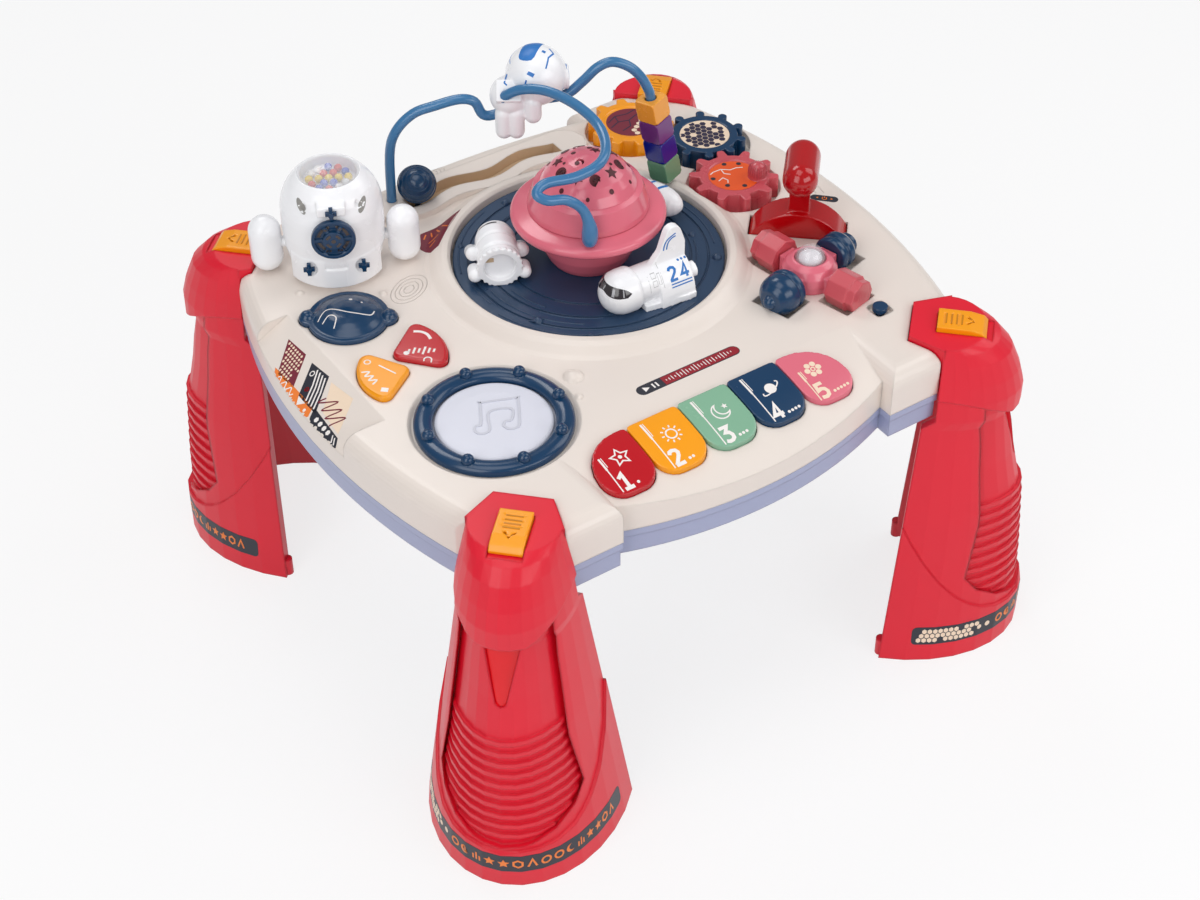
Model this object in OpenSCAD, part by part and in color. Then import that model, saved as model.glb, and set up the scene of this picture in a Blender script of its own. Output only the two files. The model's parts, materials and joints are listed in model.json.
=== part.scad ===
// A toddler's activity table on four detachable legs: a cream case with a turntable and a
// lamp, keys, a drum, gears, a lever, a satellite spinner, a capsule and a bead maze.
// The floor is z = 0, the keyboard side faces -Y, and the origin is under the centre.

/* [Case] */
// Height of the play surface above the floor
surface_z = 266; // [262:1:270]
// Height of the cream upper shell
top_depth = 33; // [32:1:35]
// Height of the lavender lower shell
base_depth = 21; // [20:1:24]
// Thickness of the moulded walls
wall = 2.5; // [2.2:0.1:2.7]
// Half of the width across the middle of the bowed sides
half_width = 231; // [229:1:234]
// How far each side bows out beyond its ends
side_bow = 23; // [20:1:26]
// Half of the depth across the corner blocks
half_depth = 203; // [202:1:205]
// Reach of the bowed front edge from the centre
front_reach = 212; // [209:1:215]
// Reach of the back edge from the centre
back_reach = 200; // [198:1:202]
// Distance of each edge notch from the centre line
notch_x = 112; // [110:1:114]
// Radius of the rounded shoulder of the case
shoulder_r = 12; // [9:1:14]

/* [Legs] */
// Reach of a foot from the centre, along the diagonal
foot_reach = 331; // [325:1:340]
// Half of the width of a foot
foot_half = 71; // [66:1:76]
// Reach of a leg's head, along the diagonal
head_reach = 312; // [308:1:316]
// Half of the width of a leg at the case's seam
neck_half = 37; // [36:1:40]
// Reach of the back wall of a leg's head
pocket_reach = 228; // [226:1:230]
// Thickness of a leg's shell
leg_wall = 3; // [2.5:0.1:3.5]
// Number of grip ribs on a leg
rib_count = 10; // [6:1:11]
// Width of a latch
latch_w = 22.5; // [20:0.5:24]
// Travel of a latch
latch_travel = 4; // [3:0.5:5]

/* [Turntable and lamp] */
// Place of the turntable's centre, left to right
turntable_x = 18; // [16:1:20]
// Place of the turntable's centre, front to back
turntable_y = 31; // [29:1:32]
// Radius of the turntable disc
disc_r = 99.5; // [97:0.5:101]
// Radius of the lamp's fixed column
column_r = 22; // [19:0.5:24]
// Radius of the lamp's brim
brim_r = 56.5; // [54:0.5:58]
// Height of the lamp's brim above the play surface
brim_h = 42; // [40:1:44]
// Radius of the lamp's dome
dome_r = 38; // [37:0.5:39]

/* [Keys and buttons] */
// Distance from one key to the next
key_pitch = 41.3; // [41:0.1:41.8]
// Gap between two keys
key_gap = 0.9; // [0.6:0.1:1.2]
// Length of a key
key_len = 47; // [44:1:48]
// Travel of a key or a button
press = 2.5; // [2:0.1:3]
// Radius of the drum pad
pad_r = 40.3; // [39:0.1:41]
// Outer radius of the drum's ring
drum_r = 54.5; // [52:0.5:56]
// Radius of the two sector buttons
sector_r = 40; // [37:0.5:41]
// Radius of the planet button
planet_r = 29; // [27:0.5:30]

/* [Gears, lever and spinner] */
// Pitch radius of the gears
pitch_r = 30; // [29.6:0.1:30.4]
// Height of a gear
gear_h = 18; // [16:1:20]
// Radius of a gear's post
post_r = 4; // [3:0.1:5]
// Radius of the lever's sector
sector_arm = 40; // [39:0.5:41]
// Thickness of the lever's sector
sector_w = 24; // [22:0.5:24]
// Radius of a roller of the spinner
roller_r = 14; // [13:0.5:14.5]
// Length of a roller of the spinner
roller_len = 20; // [18:0.5:21]

/* [Capsule and bead maze] */
// Radius of the capsule
capsule_r = 36.8; // [35.5:0.1:37.2]
// Height of the capsule's dome centre above the play surface
capsule_h = 51.5; // [50:0.5:53]
// Radius of a pod beside the capsule
pod_r = 11.8; // [11:0.1:12]
// Radius of the maze wires
wire_r = 3.75; // [3.2:0.05:4]
// Size of a bead
bead_w = 17.5; // [16.5:0.1:18]
// Radius of the slider's ball
ball_r = 14.4; // [13.5:0.1:14.8]

/* [Fits] */
// Clearance round a piece that moves
gap = 0.5; // [0.4:0.05:0.6]
// Clearance under a piece that rests on another
seat = 0.3; // [0.2:0.05:0.4]
// Radial clearance of a pin in its bore
pin_fit = 0.08; // [0.04:0.01:0.1]

/* [Hidden] */

seam_z = surface_z - top_depth;
bottom_z = seam_z - base_depth;
skin_z = surface_z - wall;             // underside of the top wall
side_end = half_width - side_bow;      // half width where the side arcs end
side_half_chord = 148;
front_notch_y = 192;
corner_cut = 253;                      // reach of the corner's chamfer, along the diagonal
over = 60;                             // how far a cutter runs past what it cuts

pocket_half = 20.8;
pocket_flare = 0.478;
tongue_half = 13;
tongue_low = seam_z + 4;
tongue_high = tongue_low + 12;
tongue_len = 28;
back_setback = 22;

lip_z = surface_z - 60;
head_top = surface_z + 3.5;
foot_steps = 16;                       // chords of each half ellipse of a leg

turntable_at = [turntable_x, turntable_y];
deck_z = surface_z - 4;
disc_low = deck_z + seat;
disc_top = disc_low + 6.2;
rim_in = disc_r + 1.5;
rim_out = rim_in + 10.5;
rim_h = 8;
brim_z = surface_z + brim_h;

drum_at = [-136, -85];
drum_deck = surface_z - 3;
drum_ring_h = 7;
mode_at = [-161, 10];
song_at = [-155, -9];
planet_at = [-163, 66];
button_low = surface_z - 8;
key_x = -8.5;
key_y = -143.5;
key_low = surface_z - 15;
key_rise = 3.5;
crown_r = 220;
crown_y = -125;
power_at = [154, -137];
power_r = 5.5;

gear_teeth = 10;
well_floor = surface_z - 8.9;
gear_low = well_floor + seat;
mesh_distance = 2 * pitch_r;
tooth_turn = 360 / gear_teeth;
blue_way = 75.5;                       // direction from the pink gear to the blue one
yellow_way = 128.5;                    // direction from the blue gear to the yellow one
gear_pink_at = [160, 45];
gear_blue_at = gear_pink_at + mesh_distance * [cos(blue_way), sin(blue_way)];
gear_yellow_at = gear_blue_at + mesh_distance * [cos(yellow_way), sin(yellow_way)];
// Each gear is turned so that its teeth fall between its neighbour's
blue_phase = 2 * blue_way + 180 + tooth_turn / 2;
yellow_phase = 2 * yellow_way + 180 + tooth_turn / 2 - blue_phase;
gear_well_r = pitch_r + 6;

lever_at = [166, -27];
lever_turn = 48;                       // direction of the lever's pin
lever_pin_z = surface_z - 20;
lever_pin_r = 3;
lever_swing = 20;

satellite_at = [134, -81];
roller_z = surface_z + 7;
arm_r = 4;
roller_in = 23.5;
arm_out = roller_in + roller_len + 2.5;
arm_turns = [100, 14.6, -76, 196];     // pink left, blue back, pink right, blue front

capsule_at = [-137, 129];
capsule_turn = -27;                    // the capsule's front faces this far from -Y
capsule_mid = surface_z + capsule_h;
window_r = 22.4;
tray_z = capsule_mid + 20;
wheel_z = surface_z + 49.5;
wheel_r = 15.7;
wheel_w = 5;
pod_reach = capsule_r + pod_r + 1;
pod_half = 10.5;
pod_z = surface_z + pod_r + pod_half + 0.8;
pod_axle_r = 4;
pin_out = 19.5;
pin_seat_y = 5.5 - capsule_r;

groove_y = 161;
groove_half = 6.5;
groove_wave = 3.4;
groove_period = 66;
groove_from = -60;
groove_to = 74;
plateau_h = 5;
slider_x = -50;

screw_spots = [[126, -186], [-126, -186], [126, 184], [-126, 184], [215, 20], [-214, -66]];
screw_r = 1.5;
head_r = 3.2;
boss_r = 4;

wire_seat = 4;                         // depth of the wires' sockets
bead_foot = [117, 71, surface_z + rim_h - wire_seat];
bead_top = [104, 78, surface_z + 86];
bead_gap = 0.3;

// Control points of the long wire: left foot, arch, dip through the astronaut, bead stretch
long_route = [
  [-68, 169, surface_z + plateau_h - wire_seat], [-67, 168, surface_z + 46],
  [-62, 165, surface_z + 66],
  [-50, 159, surface_z + 80], [-36, 151, surface_z + 86], [-20, 143, surface_z + 90],
  [-10, 138, surface_z + 87], [-5, 135, surface_z + 76], [4, 131, surface_z + 75],
  [25, 120, surface_z + 84], [48, 107, surface_z + 88], [60, 101, surface_z + 98],
  [70, 96, surface_z + 109], [80, 91, surface_z + 113], [91, 85, surface_z + 108],
  [99, 81, surface_z + 98], bead_top, bead_foot
];
// Control points of the short wire: astronaut's chest, over the dome, hook, lamp's brim
short_route = [
  [8, 122, surface_z + 90], [1, 116, surface_z + 98], [9, 104, surface_z + 108],
  [20, 87, surface_z + 112], [29, 63, surface_z + 110], [32, 39, surface_z + 105],
  [24, 17, surface_z + 102], [10, 4, surface_z + 100], [-11, 2, surface_z + 98],
  [-33, 6, surface_z + 99], [-42, 4, surface_z + 95], [-37, -2, surface_z + 91],
  [-24, -5, surface_z + 88], [-13, -8, surface_z + 78], [-9, -11, surface_z + 64],
  [-9, -11, brim_z + 6.2]
];

cream = "#eee6de";
lavender = "#a4aac8";
red = "#e23249";
yellow = "#fdb40a";
navy = "#1b486c";
slate = "#3e4c64";
pink = "#ec8291";
blue = "#4687b4";
white = "#f0f0f5";
glass = "#d8dce8";

// ---------- shared shapes ----------

function arc(c, r, a0, a1, n) =
  [for (i = [0 : n]) c + r * [cos(a0 + (a1 - a0) * i / n), sin(a0 + (a1 - a0) * i / n)]];

function bow_radius(half_chord, bow) = (half_chord * half_chord + bow * bow) / (2 * bow);

// A rounded rectangle from (0, 0) to (w, l), with a radius for each corner from the origin on
function rounded_box(w, l, r) = concat(
  arc([r[0], r[0]], r[0], 180, 270, 6),
  arc([w - r[1], r[1]], r[1], 270, 360, 6),
  arc([w - r[2], l - r[2]], r[2], 0, 90, 6),
  arc([r[3], l - r[3]], r[3], 90, 180, 6));

// A sector about +X with its apex at the origin, all three corners rounded by c
function sector(r, half, c) =
  let (turn = half - asin(c / (r - c)))
  concat(
    arc((r - c) * [cos(turn), sin(turn)], c, turn, half + 90, 4),
    arc([c / sin(half), 0], c, half + 90, 270 - half, 5),
    arc((r - c) * [cos(turn), -sin(turn)], c, 270 - half, 360 - turn, 4),
    arc([0, 0], r, -turn, turn, 12));

function star(r, inner, points) =
  [for (i = [0 : 2 * points - 1])
    (i % 2 == 0 ? r : inner) * [cos(180 * i / points), sin(180 * i / points)]];

module place(p, z) {
  translate([p[0], p[1], z])
    children();
}

module along(from, to) {
  d = to - from;
  translate(from)
    rotate([0, acos(d[2] / norm(d)), atan2(d[1], d[0])])
      children();
}

// ---------- the case ----------

module shoulder_profile(reach, low, high, r) {
  polygon(concat(
    [[0, low], [reach, low]],
    arc([reach - r, high - r], r, 0, 90, 6),
    [[0, high]]));
}

module bow_disc(radius, low, high, r) {
  rotate_extrude($fn = 200)
    shoulder_profile(radius, low, high, r);
}

// A straight edge block: its shoulder faces +X at x = reach, and it runs along Y
module edge_block(reach, low, high, r) {
  rotate([90, 0, 0])
    translate([0, 0, -300])
      linear_extrude(600)
        polygon(concat(
          [[reach - 500, low], [reach, low]],
          arc([reach - r, high - r], r, 0, 90, 6),
          [[reach - 500, high]]));
}

// The play surface falls away under the keys, on a large radius
module crown(lift) {
  translate([0, crown_y, surface_z + 0.4 - crown_r])
    rotate([0, 90, 0])
      cylinder(r = crown_r + lift, h = 3 * half_width, center = true, $fn = 200);
}

module above_crown(inset) {
  difference() {
    translate([-2 * notch_x, crown_y - 2 * over, surface_z - over])
      cube([4 * notch_x, 2 * over, 2 * over]);
    crown(-inset);
  }
}

module case_middle(inset, low, high) {
  difference() {
    case_middle_block(inset, low, high);
    above_crown(inset);
  }
}

module case_middle_block(inset, low, high) {
  r = shoulder_r - inset;
  front_r = bow_radius(notch_x, front_reach - front_notch_y);
  back_r = bow_radius(notch_x, back_reach - front_notch_y);
  intersection() {
    translate([0, front_r - front_reach, 0])
      bow_disc(front_r - inset, low, high, r);
    translate([0, back_reach - back_r, 0])
      bow_disc(back_r - inset, low, high, r);
    translate([-notch_x - 38, -half_depth - over, low - 1])
      cube([2 * notch_x + 76, 2 * (half_depth + over), high - low + 2]);
  }
}

module case_end(inset, low, high) {
  r = shoulder_r - inset;
  side_r = bow_radius(side_half_chord, side_bow);
  intersection() {
    translate([half_width - side_r, 0, 0])
      bow_disc(side_r - inset, low, high, r);
    rotate([0, 0, 90])
      edge_block(half_depth - inset, low, high, r);
    rotate([0, 0, -90])
      edge_block(half_depth - inset, low, high, r);
    translate([notch_x, 0, 0])
      rotate([0, 0, 180])
        edge_block(-inset, low, high, r);
    for_corner_cut(inset, low, high);
  }
}

module for_corner_cut(inset, low, high) {
  intersection() {
    rotate([0, 0, 45])
      translate([-500, -500, low - 1])
        cube([500 + corner_cut - inset, 1000, high - low + 2]);
    rotate([0, 0, -45])
      translate([-500, -500, low - 1])
        cube([500 + corner_cut - inset, 1000, high - low + 2]);
  }
}

module case_form(inset, low, high) {
  case_middle(inset, low, high);
  case_end(inset, low, high);
  mirror([1, 0, 0])
    case_end(inset, low, high);
}

module corner_shape(inset) {
  side_r = bow_radius(side_half_chord, side_bow);
  intersection() {
    translate([half_width - side_r, 0])
      circle(side_r - inset, $fn = 200);
    translate([notch_x + inset, inset - half_depth])
      square([half_width, 2 * (half_depth - inset)]);
    rotate(45)
      translate([-500, -500])
        square([500 + corner_cut - inset, 1000]);
    rotate(-45)
      translate([-500, -500])
        square([500 + corner_cut - inset, 1000]);
  }
}

// The case's outline at the seam
module case_outline(inset) {
  front_r = bow_radius(notch_x, front_reach - front_notch_y);
  back_r = bow_radius(notch_x, back_reach - front_notch_y);
  intersection() {
    translate([0, front_r - front_reach])
      circle(front_r - inset, $fn = 200);
    translate([0, back_reach - back_r])
      circle(back_r - inset, $fn = 200);
    square([2 * notch_x + 76, 3 * half_depth], center = true);
  }
  corner_shape(inset);
  mirror([1, 0])
    corner_shape(inset);
}

// Corners are counted from the back right; the back pockets are shorter, clear of the toys
function root_at(corner) = pocket_reach + back_setback * (corner == 0 ? 1 : corner == 1 ? 0.8 : 0);

function pocket_outline(root, grow) =
  let (half = pocket_half + (root - pocket_reach) * pocket_flare + grow)
  [[root - grow, -half], [root - grow, half],
    [root + over, half + over * pocket_flare], [root + over, -half - over * pocket_flare]];

module pockets(grow, low, high) {
  for (corner = [0 : 3])
    rotate([0, 0, 45 + 90 * corner])
      translate([0, 0, low])
        linear_extrude(high - low)
          polygon(pocket_outline(root_at(corner), grow));
}

// Sleeves for the tongues of the legs, reaching back by depth behind each pocket
module sockets(grow, depth) {
  for (corner = [0 : 3])
    rotate([0, 0, 45 + 90 * corner])
      translate([root_at(corner) - depth, -tongue_half - gap - grow,
        tongue_low - gap - grow])
        cube([depth + 1, 2 * (tongue_half + gap + grow),
          tongue_high - tongue_low + 2 * (gap + grow)]);
}

facet_from = -43;
facet_to = 95;
facet_in = -196;
facet_slope = 0.52;

module facet_cut() {
  translate([0, facet_to, 0])
    rotate([90, 0, 0])
      linear_extrude(facet_to - facet_from)
        polygon([
          [facet_in, surface_z], [facet_in - over, surface_z - over * facet_slope],
          [facet_in - over, surface_z + over], [facet_in, surface_z + over]]);
}

module facet_block() {
  low = surface_z - wall * 1.2;
  translate([0, facet_to + wall, 0])
    rotate([90, 0, 0])
      linear_extrude(facet_to - facet_from + 2 * wall)
        polygon([
          [facet_in, surface_z], [facet_in, low],
          [facet_in - over, low - over * facet_slope], [facet_in - over, surface_z]]);
}

function groove_mid(x) = groove_y + groove_wave * cos(360 * (x + 20) / groove_period);

// The wavy groove's outline, grown by g on every side
function groove_outline(g) =
  let (n = 24, step = (groove_to - groove_from + 2 * g) / n)
  concat(
    [for (i = [0 : n])
      let (x = groove_from - g + i * step)
      [x, groove_mid(x) - groove_half - g]],
    [for (i = [n : -1 : 0])
      let (x = groove_from - g + i * step)
      [x, groove_mid(x) + groove_half + g]]);

function plateau_outline() = concat(
  arc([-66, groove_y], 19, 90, 250, 6),
  [for (x = [-56 : 8 : 72]) [x, groove_y - 17.5 + 3 * cos(360 * (x + 20) / groove_period)]],
  arc([80, groove_y - 1], 19, -90, 90, 8));

module key_outline(i, grow) {
  w = key_pitch - key_gap + 2 * grow;
  tight = 3 + grow;
  wide = key_len - 16 + grow;
  outer = 15 + grow;
  translate([key_x + (i - 3) * key_pitch - w / 2, key_y - key_len - grow])
    polygon(rounded_box(w, key_len + 2 * grow,
      [outer, outer, i == 5 ? wide : tight, i == 1 ? wide : tight]));
}

module mode_outline(grow) {
  translate(mode_at - [1.4 * grow, 0])
    rotate(-5.6)
      polygon(sector(sector_r + 2.4 * grow, 43.5, 6 + grow));
}

module song_outline(grow) {
  translate(song_at + [1.4 * grow, 0])
    rotate(167.5)
      polygon(sector(sector_r - 2 + 2.4 * grow, 47, 6 + grow));
}

module planet_outline(grow) {
  translate(planet_at)
    rotate(-33) {
      circle(planet_r + grow, $fn = 72);
      for (s = [-1, 1])
        translate([s * (planet_r - 3), 0])
          circle(9 + grow, $fn = 48);
    }
}

module gear_wells(grow, low) {
  for (at = [gear_pink_at, gear_blue_at, gear_yellow_at])
    place(at, low)
      cylinder(r = gear_well_r + grow, h = surface_z - low + (grow > 0 ? 0 : over), $fn = 96);
}

module roller_wells(grow, low) {
  half = roller_r + 2;
  for (turn = arm_turns)
    place(satellite_at, low)
      rotate([0, 0, turn])
        translate([roller_in - 2.5 - grow, -half - grow, 0])
          cube([roller_len + 6 + 2 * grow, 2 * (half + grow),
            surface_z - low + (grow > 0 ? 0 : over)]);
}

module lever_slot(grow, low, high) {
  half = sqrt(sector_arm * sector_arm - pow(skin_z - lever_pin_z, 2)) + gap;
  place(lever_at, low)
    rotate([0, 0, lever_turn])
      translate([-sector_w / 2 - gap - grow, -half - grow, 0])
        cube([sector_w + 2 * (gap + grow), 2 * (half + grow), high - low]);
}

module lever_cheeks() {
  place(lever_at, lever_pin_z)
    rotate([0, 0, lever_turn])
      for (s = [-1, 1])
        translate([s * (sector_w / 2 + gap + wall) - wall, -9, -7])
          cube([2 * wall, 18, surface_z - lever_pin_z + 5]);
}

module rim() {
  place(turntable_at, 0)
    rotate_extrude($fn = 144)
      polygon([
        [rim_in, surface_z - 6.5], [rim_in, surface_z + rim_h - 2],
        [rim_in + 2, surface_z + rim_h], [rim_out - 4, surface_z + rim_h],
        [rim_out, surface_z + rim_h - 2.5], [rim_out + 5, surface_z + 1.5],
        [rim_out + 11, surface_z - 1], [rim_out + 11, skin_z]]);
}

module top_shell() color(cream) {
  deck_low = deck_z - wall;
  difference() {
    union() {
      difference() {
        case_form(0, seam_z, surface_z);
        case_form(wall, seam_z - 1, skin_z);
      }
      intersection() {
        case_form(0, seam_z, surface_z);
        union() {
          pockets(wall, seam_z, surface_z);
          sockets(wall, tongue_len + 4);
          facet_block();
          gear_wells(wall, well_floor - wall);
          roller_wells(wall, surface_z - 8 - wall);
          lever_cheeks();
          place(drum_at, drum_deck - wall)
            cylinder(r = drum_r + 5 + wall, h = surface_z - drum_deck + wall, $fn = 96);
          translate([power_at[0] - 10, power_at[1] - 10, surface_z - 4 - wall])
            cube([20, 20, 4 + wall]);
          translate([0, 0, deck_z - wall])
            linear_extrude(4 + wall)
              polygon(groove_outline(wall));
          for (at = screw_spots)
            place(at, seam_z + 1)
              cylinder(r = boss_r, h = top_depth - 1, $fn = 36);
        }
      }
      place(turntable_at, deck_low)
        cylinder(r = rim_out, h = surface_z - deck_low, $fn = 144);
      rim();
      translate([0, 0, skin_z])
        linear_extrude(plateau_h + wall)
          polygon(plateau_outline());
      bumps();
    }
    pockets(0, seam_z - 1, surface_z + over);
    sockets(0, tongue_len + 10);
    facet_cut();
    place(turntable_at, deck_z)
      cylinder(r = rim_in, h = over, $fn = 144);
    gear_wells(0, well_floor);
    roller_wells(0, surface_z - 8);
    lever_slot(0, skin_z - 12, surface_z + over);
    place(lever_at, lever_pin_z)
      rotate([0, 90, lever_turn])
        cylinder(r = lever_pin_r + 0.02, h = sector_w + 40, center = true, $fn = 36);
    translate([power_at[0] - 7.5, power_at[1] - 7.5, surface_z - 4])
      linear_extrude(over)
        polygon(rounded_box(15, 15, [3, 3, 3, 3]));
    place(power_at, surface_z - over)
      cylinder(r = 3 + gap, h = over, $fn = 36);
    translate([0, 0, deck_z])
      linear_extrude(over)
        polygon(groove_outline(0));
    for (i = [1 : 5])
      translate([0, 0, key_low - 1])
        linear_extrude(over)
          key_outline(i, gap);
    place(drum_at, skin_z - over)
      cylinder(r = pad_r + 3.7, h = 2 * over, $fn = 96);
    place(drum_at, drum_deck)
      cylinder(r1 = drum_r + 1, r2 = drum_r + 9, h = 8, $fn = 96);
    translate([0, 0, skin_z - 1])
      linear_extrude(over) {
        mode_outline(gap);
        song_outline(gap);
        planet_outline(gap);
      }
    for (at = screw_spots)
      place(at, seam_z - 1)
        cylinder(r = screw_r + 0.02, h = 16, $fn = 24);
    wire_sockets();
  }
  gear_posts();
}

// Blind holes that hold the feet of the long wire
module wire_sockets() {
  last = len(long_route) - 1;
  for (ends = [[long_route[0], long_route[1]], [long_route[last], long_route[last - 1]]])
    along(ends[0], ends[1])
      cylinder(r = wire_r + 0.2, h = over / 3, $fn = 36);
}

module gear_posts() {
  for (at = [gear_pink_at, gear_blue_at, gear_yellow_at])
    place(at, well_floor)
      cylinder(r = post_r, h = gear_h - 4, $fn = 36);
}

module bumps() {
  for (at = [[-177, 112], [-128, 78], [-126, -30], [-76, -97]])
    place(at, surface_z - 1.5)
      sphere(r = 3.5, $fn = 28);
  translate([-67, -77, surface_z - 5])
    sphere(r = 9, $fn = 40);
}

grille_at = [64, -52];
grille_r = 27;
battery_at = [-74, 40];
battery_r = 7.25;
battery_len = 50.5;
battery_count = 3;
bay_w = battery_len + 6;
bay_d = battery_count * (2 * battery_r + 1) + 3;
bay_h = 1 + wall + 2 * battery_r + 0.6;

module bottom_shell() color(lavender) {
  band = 6;
  difference() {
    union() {
      difference() {
        union() {
          translate([0, 0, seam_z - band])
            linear_extrude(band)
              case_outline(0);
          translate([0, 0, bottom_z])
            linear_extrude(base_depth - band)
              case_outline(1.5);
        }
        translate([0, 0, bottom_z + wall])
          linear_extrude(base_depth)
            case_outline(wall + 1.5);
      }
      for (at = screw_spots)
        place(at, bottom_z)
          cylinder(r = boss_r + 2, h = base_depth - 0.5, $fn = 36);
      battery_bay();
      for (at = board_posts())
        place(at, bottom_z)
          cylinder(r = 3, h = board_z - bottom_z, $fn = 24);
    }
    for (at = screw_spots)
      place(at, bottom_z - 1) {
        cylinder(r = head_r + 0.3, h = 5, $fn = 36);
        cylinder(r = screw_r + 0.3, h = base_depth + 2, $fn = 24);
      }
    translate([battery_at[0] - bay_w / 2 - 3, battery_at[1] - bay_d / 2 - 3, bottom_z - 1])
      cube([bay_w + 6, bay_d + 6, 1 + wall - 1]);
    translate([battery_at[0] - bay_w / 2, battery_at[1] - bay_d / 2, bottom_z - 1])
      cube([bay_w, bay_d, bay_h]);
    grille();
  }
}

module battery_bay() {
  translate([battery_at[0] - bay_w / 2 - wall, battery_at[1] - bay_d / 2 - wall, bottom_z])
    cube([bay_w + 2 * wall, bay_d + 2 * wall, bay_h + 1]);
}

module grille() {
  for (ring = [[0, 1], [9, 6], [18, 12]])
    for (i = [0 : ring[1] - 1])
      place(grille_at, bottom_z - 1)
        rotate([0, 0, 360 * i / ring[1]])
          translate([ring[0], 0, 0])
            cylinder(r = 2.4, h = 2 + wall, $fn = 24);
}

module battery_door() color(lavender) {
  place(battery_at, bottom_z) {
    translate([-bay_w / 2 - 3 + 0.3, -bay_d / 2 - 3 + 0.3, 0])
      cube([bay_w + 5.4, bay_d + 5.4, wall - 1]);
    translate([-bay_w / 2 + 0.3, -bay_d / 2 + 0.3, 0])
      cube([bay_w - 0.6, bay_d - 0.6, wall]);
  }
}

module batteries() color("#caa23c") {
  for (i = [0 : battery_count - 1])
    translate([battery_at[0] - battery_len / 2,
      battery_at[1] + (i - (battery_count - 1) / 2) * (2 * battery_r + 1),
      bottom_z + wall + battery_r + 0.05])
      rotate([0, 90, 0]) {
        cylinder(r = battery_r, h = battery_len - 1.5, $fn = 36);
        cylinder(r = 2.75, h = battery_len, $fn = 24);
      }
}

module case_screws() color("silver") {
  for (at = screw_spots)
    place(at, bottom_z + 1.2)
      difference() {
        union() {
          cylinder(r = head_r, h = 2.6, $fn = 36);
          cylinder(r = screw_r, h = base_depth + 8, $fn = 24);
        }
        translate([-0.5, -2.4, -1])
          cube([1, 4.8, 2]);
        translate([-2.4, -0.5, -1])
          cube([4.8, 1, 2]);
      }
}

board_z = surface_z - 32;
board_from = [-104, -188];
board_size = [192, 54];

function board_posts() =
  [for (x = [8, board_size[0] - 8]) for (y = [8, board_size[1] - 8]) board_from + [x, y]];

module circuit_board() color("#2f7a4a") {
  place(board_from, board_z)
    cube([board_size[0], board_size[1], 1.6]);
  for (i = [1 : 5])
    translate([key_x + (i - 3) * key_pitch, key_y - key_len / 2, board_z + 1.6])
      cylinder(r1 = 6, r2 = 4, h = key_stem_low() - press - 1 - board_z - 1.6, $fn = 36);
}

function key_stem_low() = key_low - 4;

module speaker() color("#333333") {
  place(grille_at, bottom_z + wall)
    rotate_extrude($fn = 72)
      polygon([[0, 5], [8, 3], [grille_r - 4, 1], [grille_r - 4, 0], [grille_r, 0],
        [grille_r, 5], [17, 12], [17, 17], [0, 17]]);
}

// ---------- the legs, drawn along +X ----------

function leg_half(z) = lookup(z, [[0, foot_half], [seam_z, neck_half], [head_top, neck_half - 8]]);

function leg_back(z) = lookup(z, [
  [0, pocket_reach + 6], [lip_z - 2, pocket_reach + 17], [bottom_z - 1, corner_cut + 1.5],
  [head_top, corner_cut + 1.5]]);

// Reach of a leg's outer skin at the middle, by height
function rail_reach(z) = lookup(z, [
  [0, foot_reach], [0.2 * lip_z, foot_reach], [0.33 * lip_z, foot_reach - 1],
  [0.63 * lip_z, foot_reach - 6], [0.8 * lip_z, foot_reach - 14], [lip_z, head_reach - 2],
  [lip_z + 20, head_reach - 2], [surface_z - 26, head_reach - 6],
  [surface_z - 10, head_reach - 13], [surface_z - 1, head_reach - 22],
  [head_top, head_reach - 32]]);

panel_drop = 4.5;                      // how far the panel lies behind the rails
rib_high = 2;
rib_low_z = 46;
rib_pitch = 9.6;

module leg_slice(z, reach, half, tail = 0.5) {
  back = leg_back(z);
  translate([0, 0, z])
    linear_extrude(0.02)
      polygon(concat(
        [[back - tail, -half]],
        [for (i = [0 : foot_steps])
          let (t = -90 + 180 * i / foot_steps)
          [back + (reach - back) * cos(t), half * sin(t)]],
        [[back - tail, half]]));
}

// The skin between each two heights of the list, set back by inset
module leg_loft(heights, inset, tail = 0.5) {
  for (i = [0 : len(heights) - 2])
    hull()
      for (z = [heights[i], heights[i + 1]])
        leg_slice(z, rail_reach(z) - inset, leg_half(z) - inset, tail);
}

body_heights = [0, 0.2 * lip_z, 0.42 * lip_z, 0.63 * lip_z, 0.8 * lip_z, lip_z - 2,
  bottom_z - 1, seam_z];
head_heights = [bottom_z - 1, lip_z + 20, surface_z - 26, surface_z - 10, surface_z - 1, head_top];

// A prism along the leg's diagonal, from an outline in width and height
module facing_prism(from, to) {
  translate([from, 0, 0])
    rotate([90, 0, 90])
      linear_extrude(to - from)
        children();
}

module shield_outline(grow) {
  low = 36;
  wide_z = 72;
  wide = 49.5;
  polygon(concat(
    [for (i = [0 : 8])
      let (t = 180 + 180 * i / 8)
      [(wide + grow) * cos(t), wide_z + (wide_z - low + grow) * sin(t)]],
    [[41 + grow, 0.58 * lip_z], [33 + grow, 0.92 * lip_z], [30 + grow, lip_z + 22],
      [-30 - grow, lip_z + 22], [-33 - grow, 0.92 * lip_z], [-41 - grow, 0.58 * lip_z]]));
}

module lip_outline() {
  polygon(concat(
    [for (i = [-6 : 6]) [8 * i, lip_z + 14 * pow(8 * i / 30, 2)]],
    [[60, head_top + 1], [-60, head_top + 1]]));
}

module notch_outline(grow) {
  polygon(concat(
    [[13 + grow, lip_z + 4], [-13 - grow, lip_z + 4]],
    arc([0, 0.79 * lip_z], 4 + grow, 200, 340, 4)));
}

// The skirt's upper edge: low in front of the ribs, high at the back edges
function skirt_edge(u) = 35 + 96 * pow((foot_reach - u) / (foot_reach - pocket_reach - 6), 2);

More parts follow.
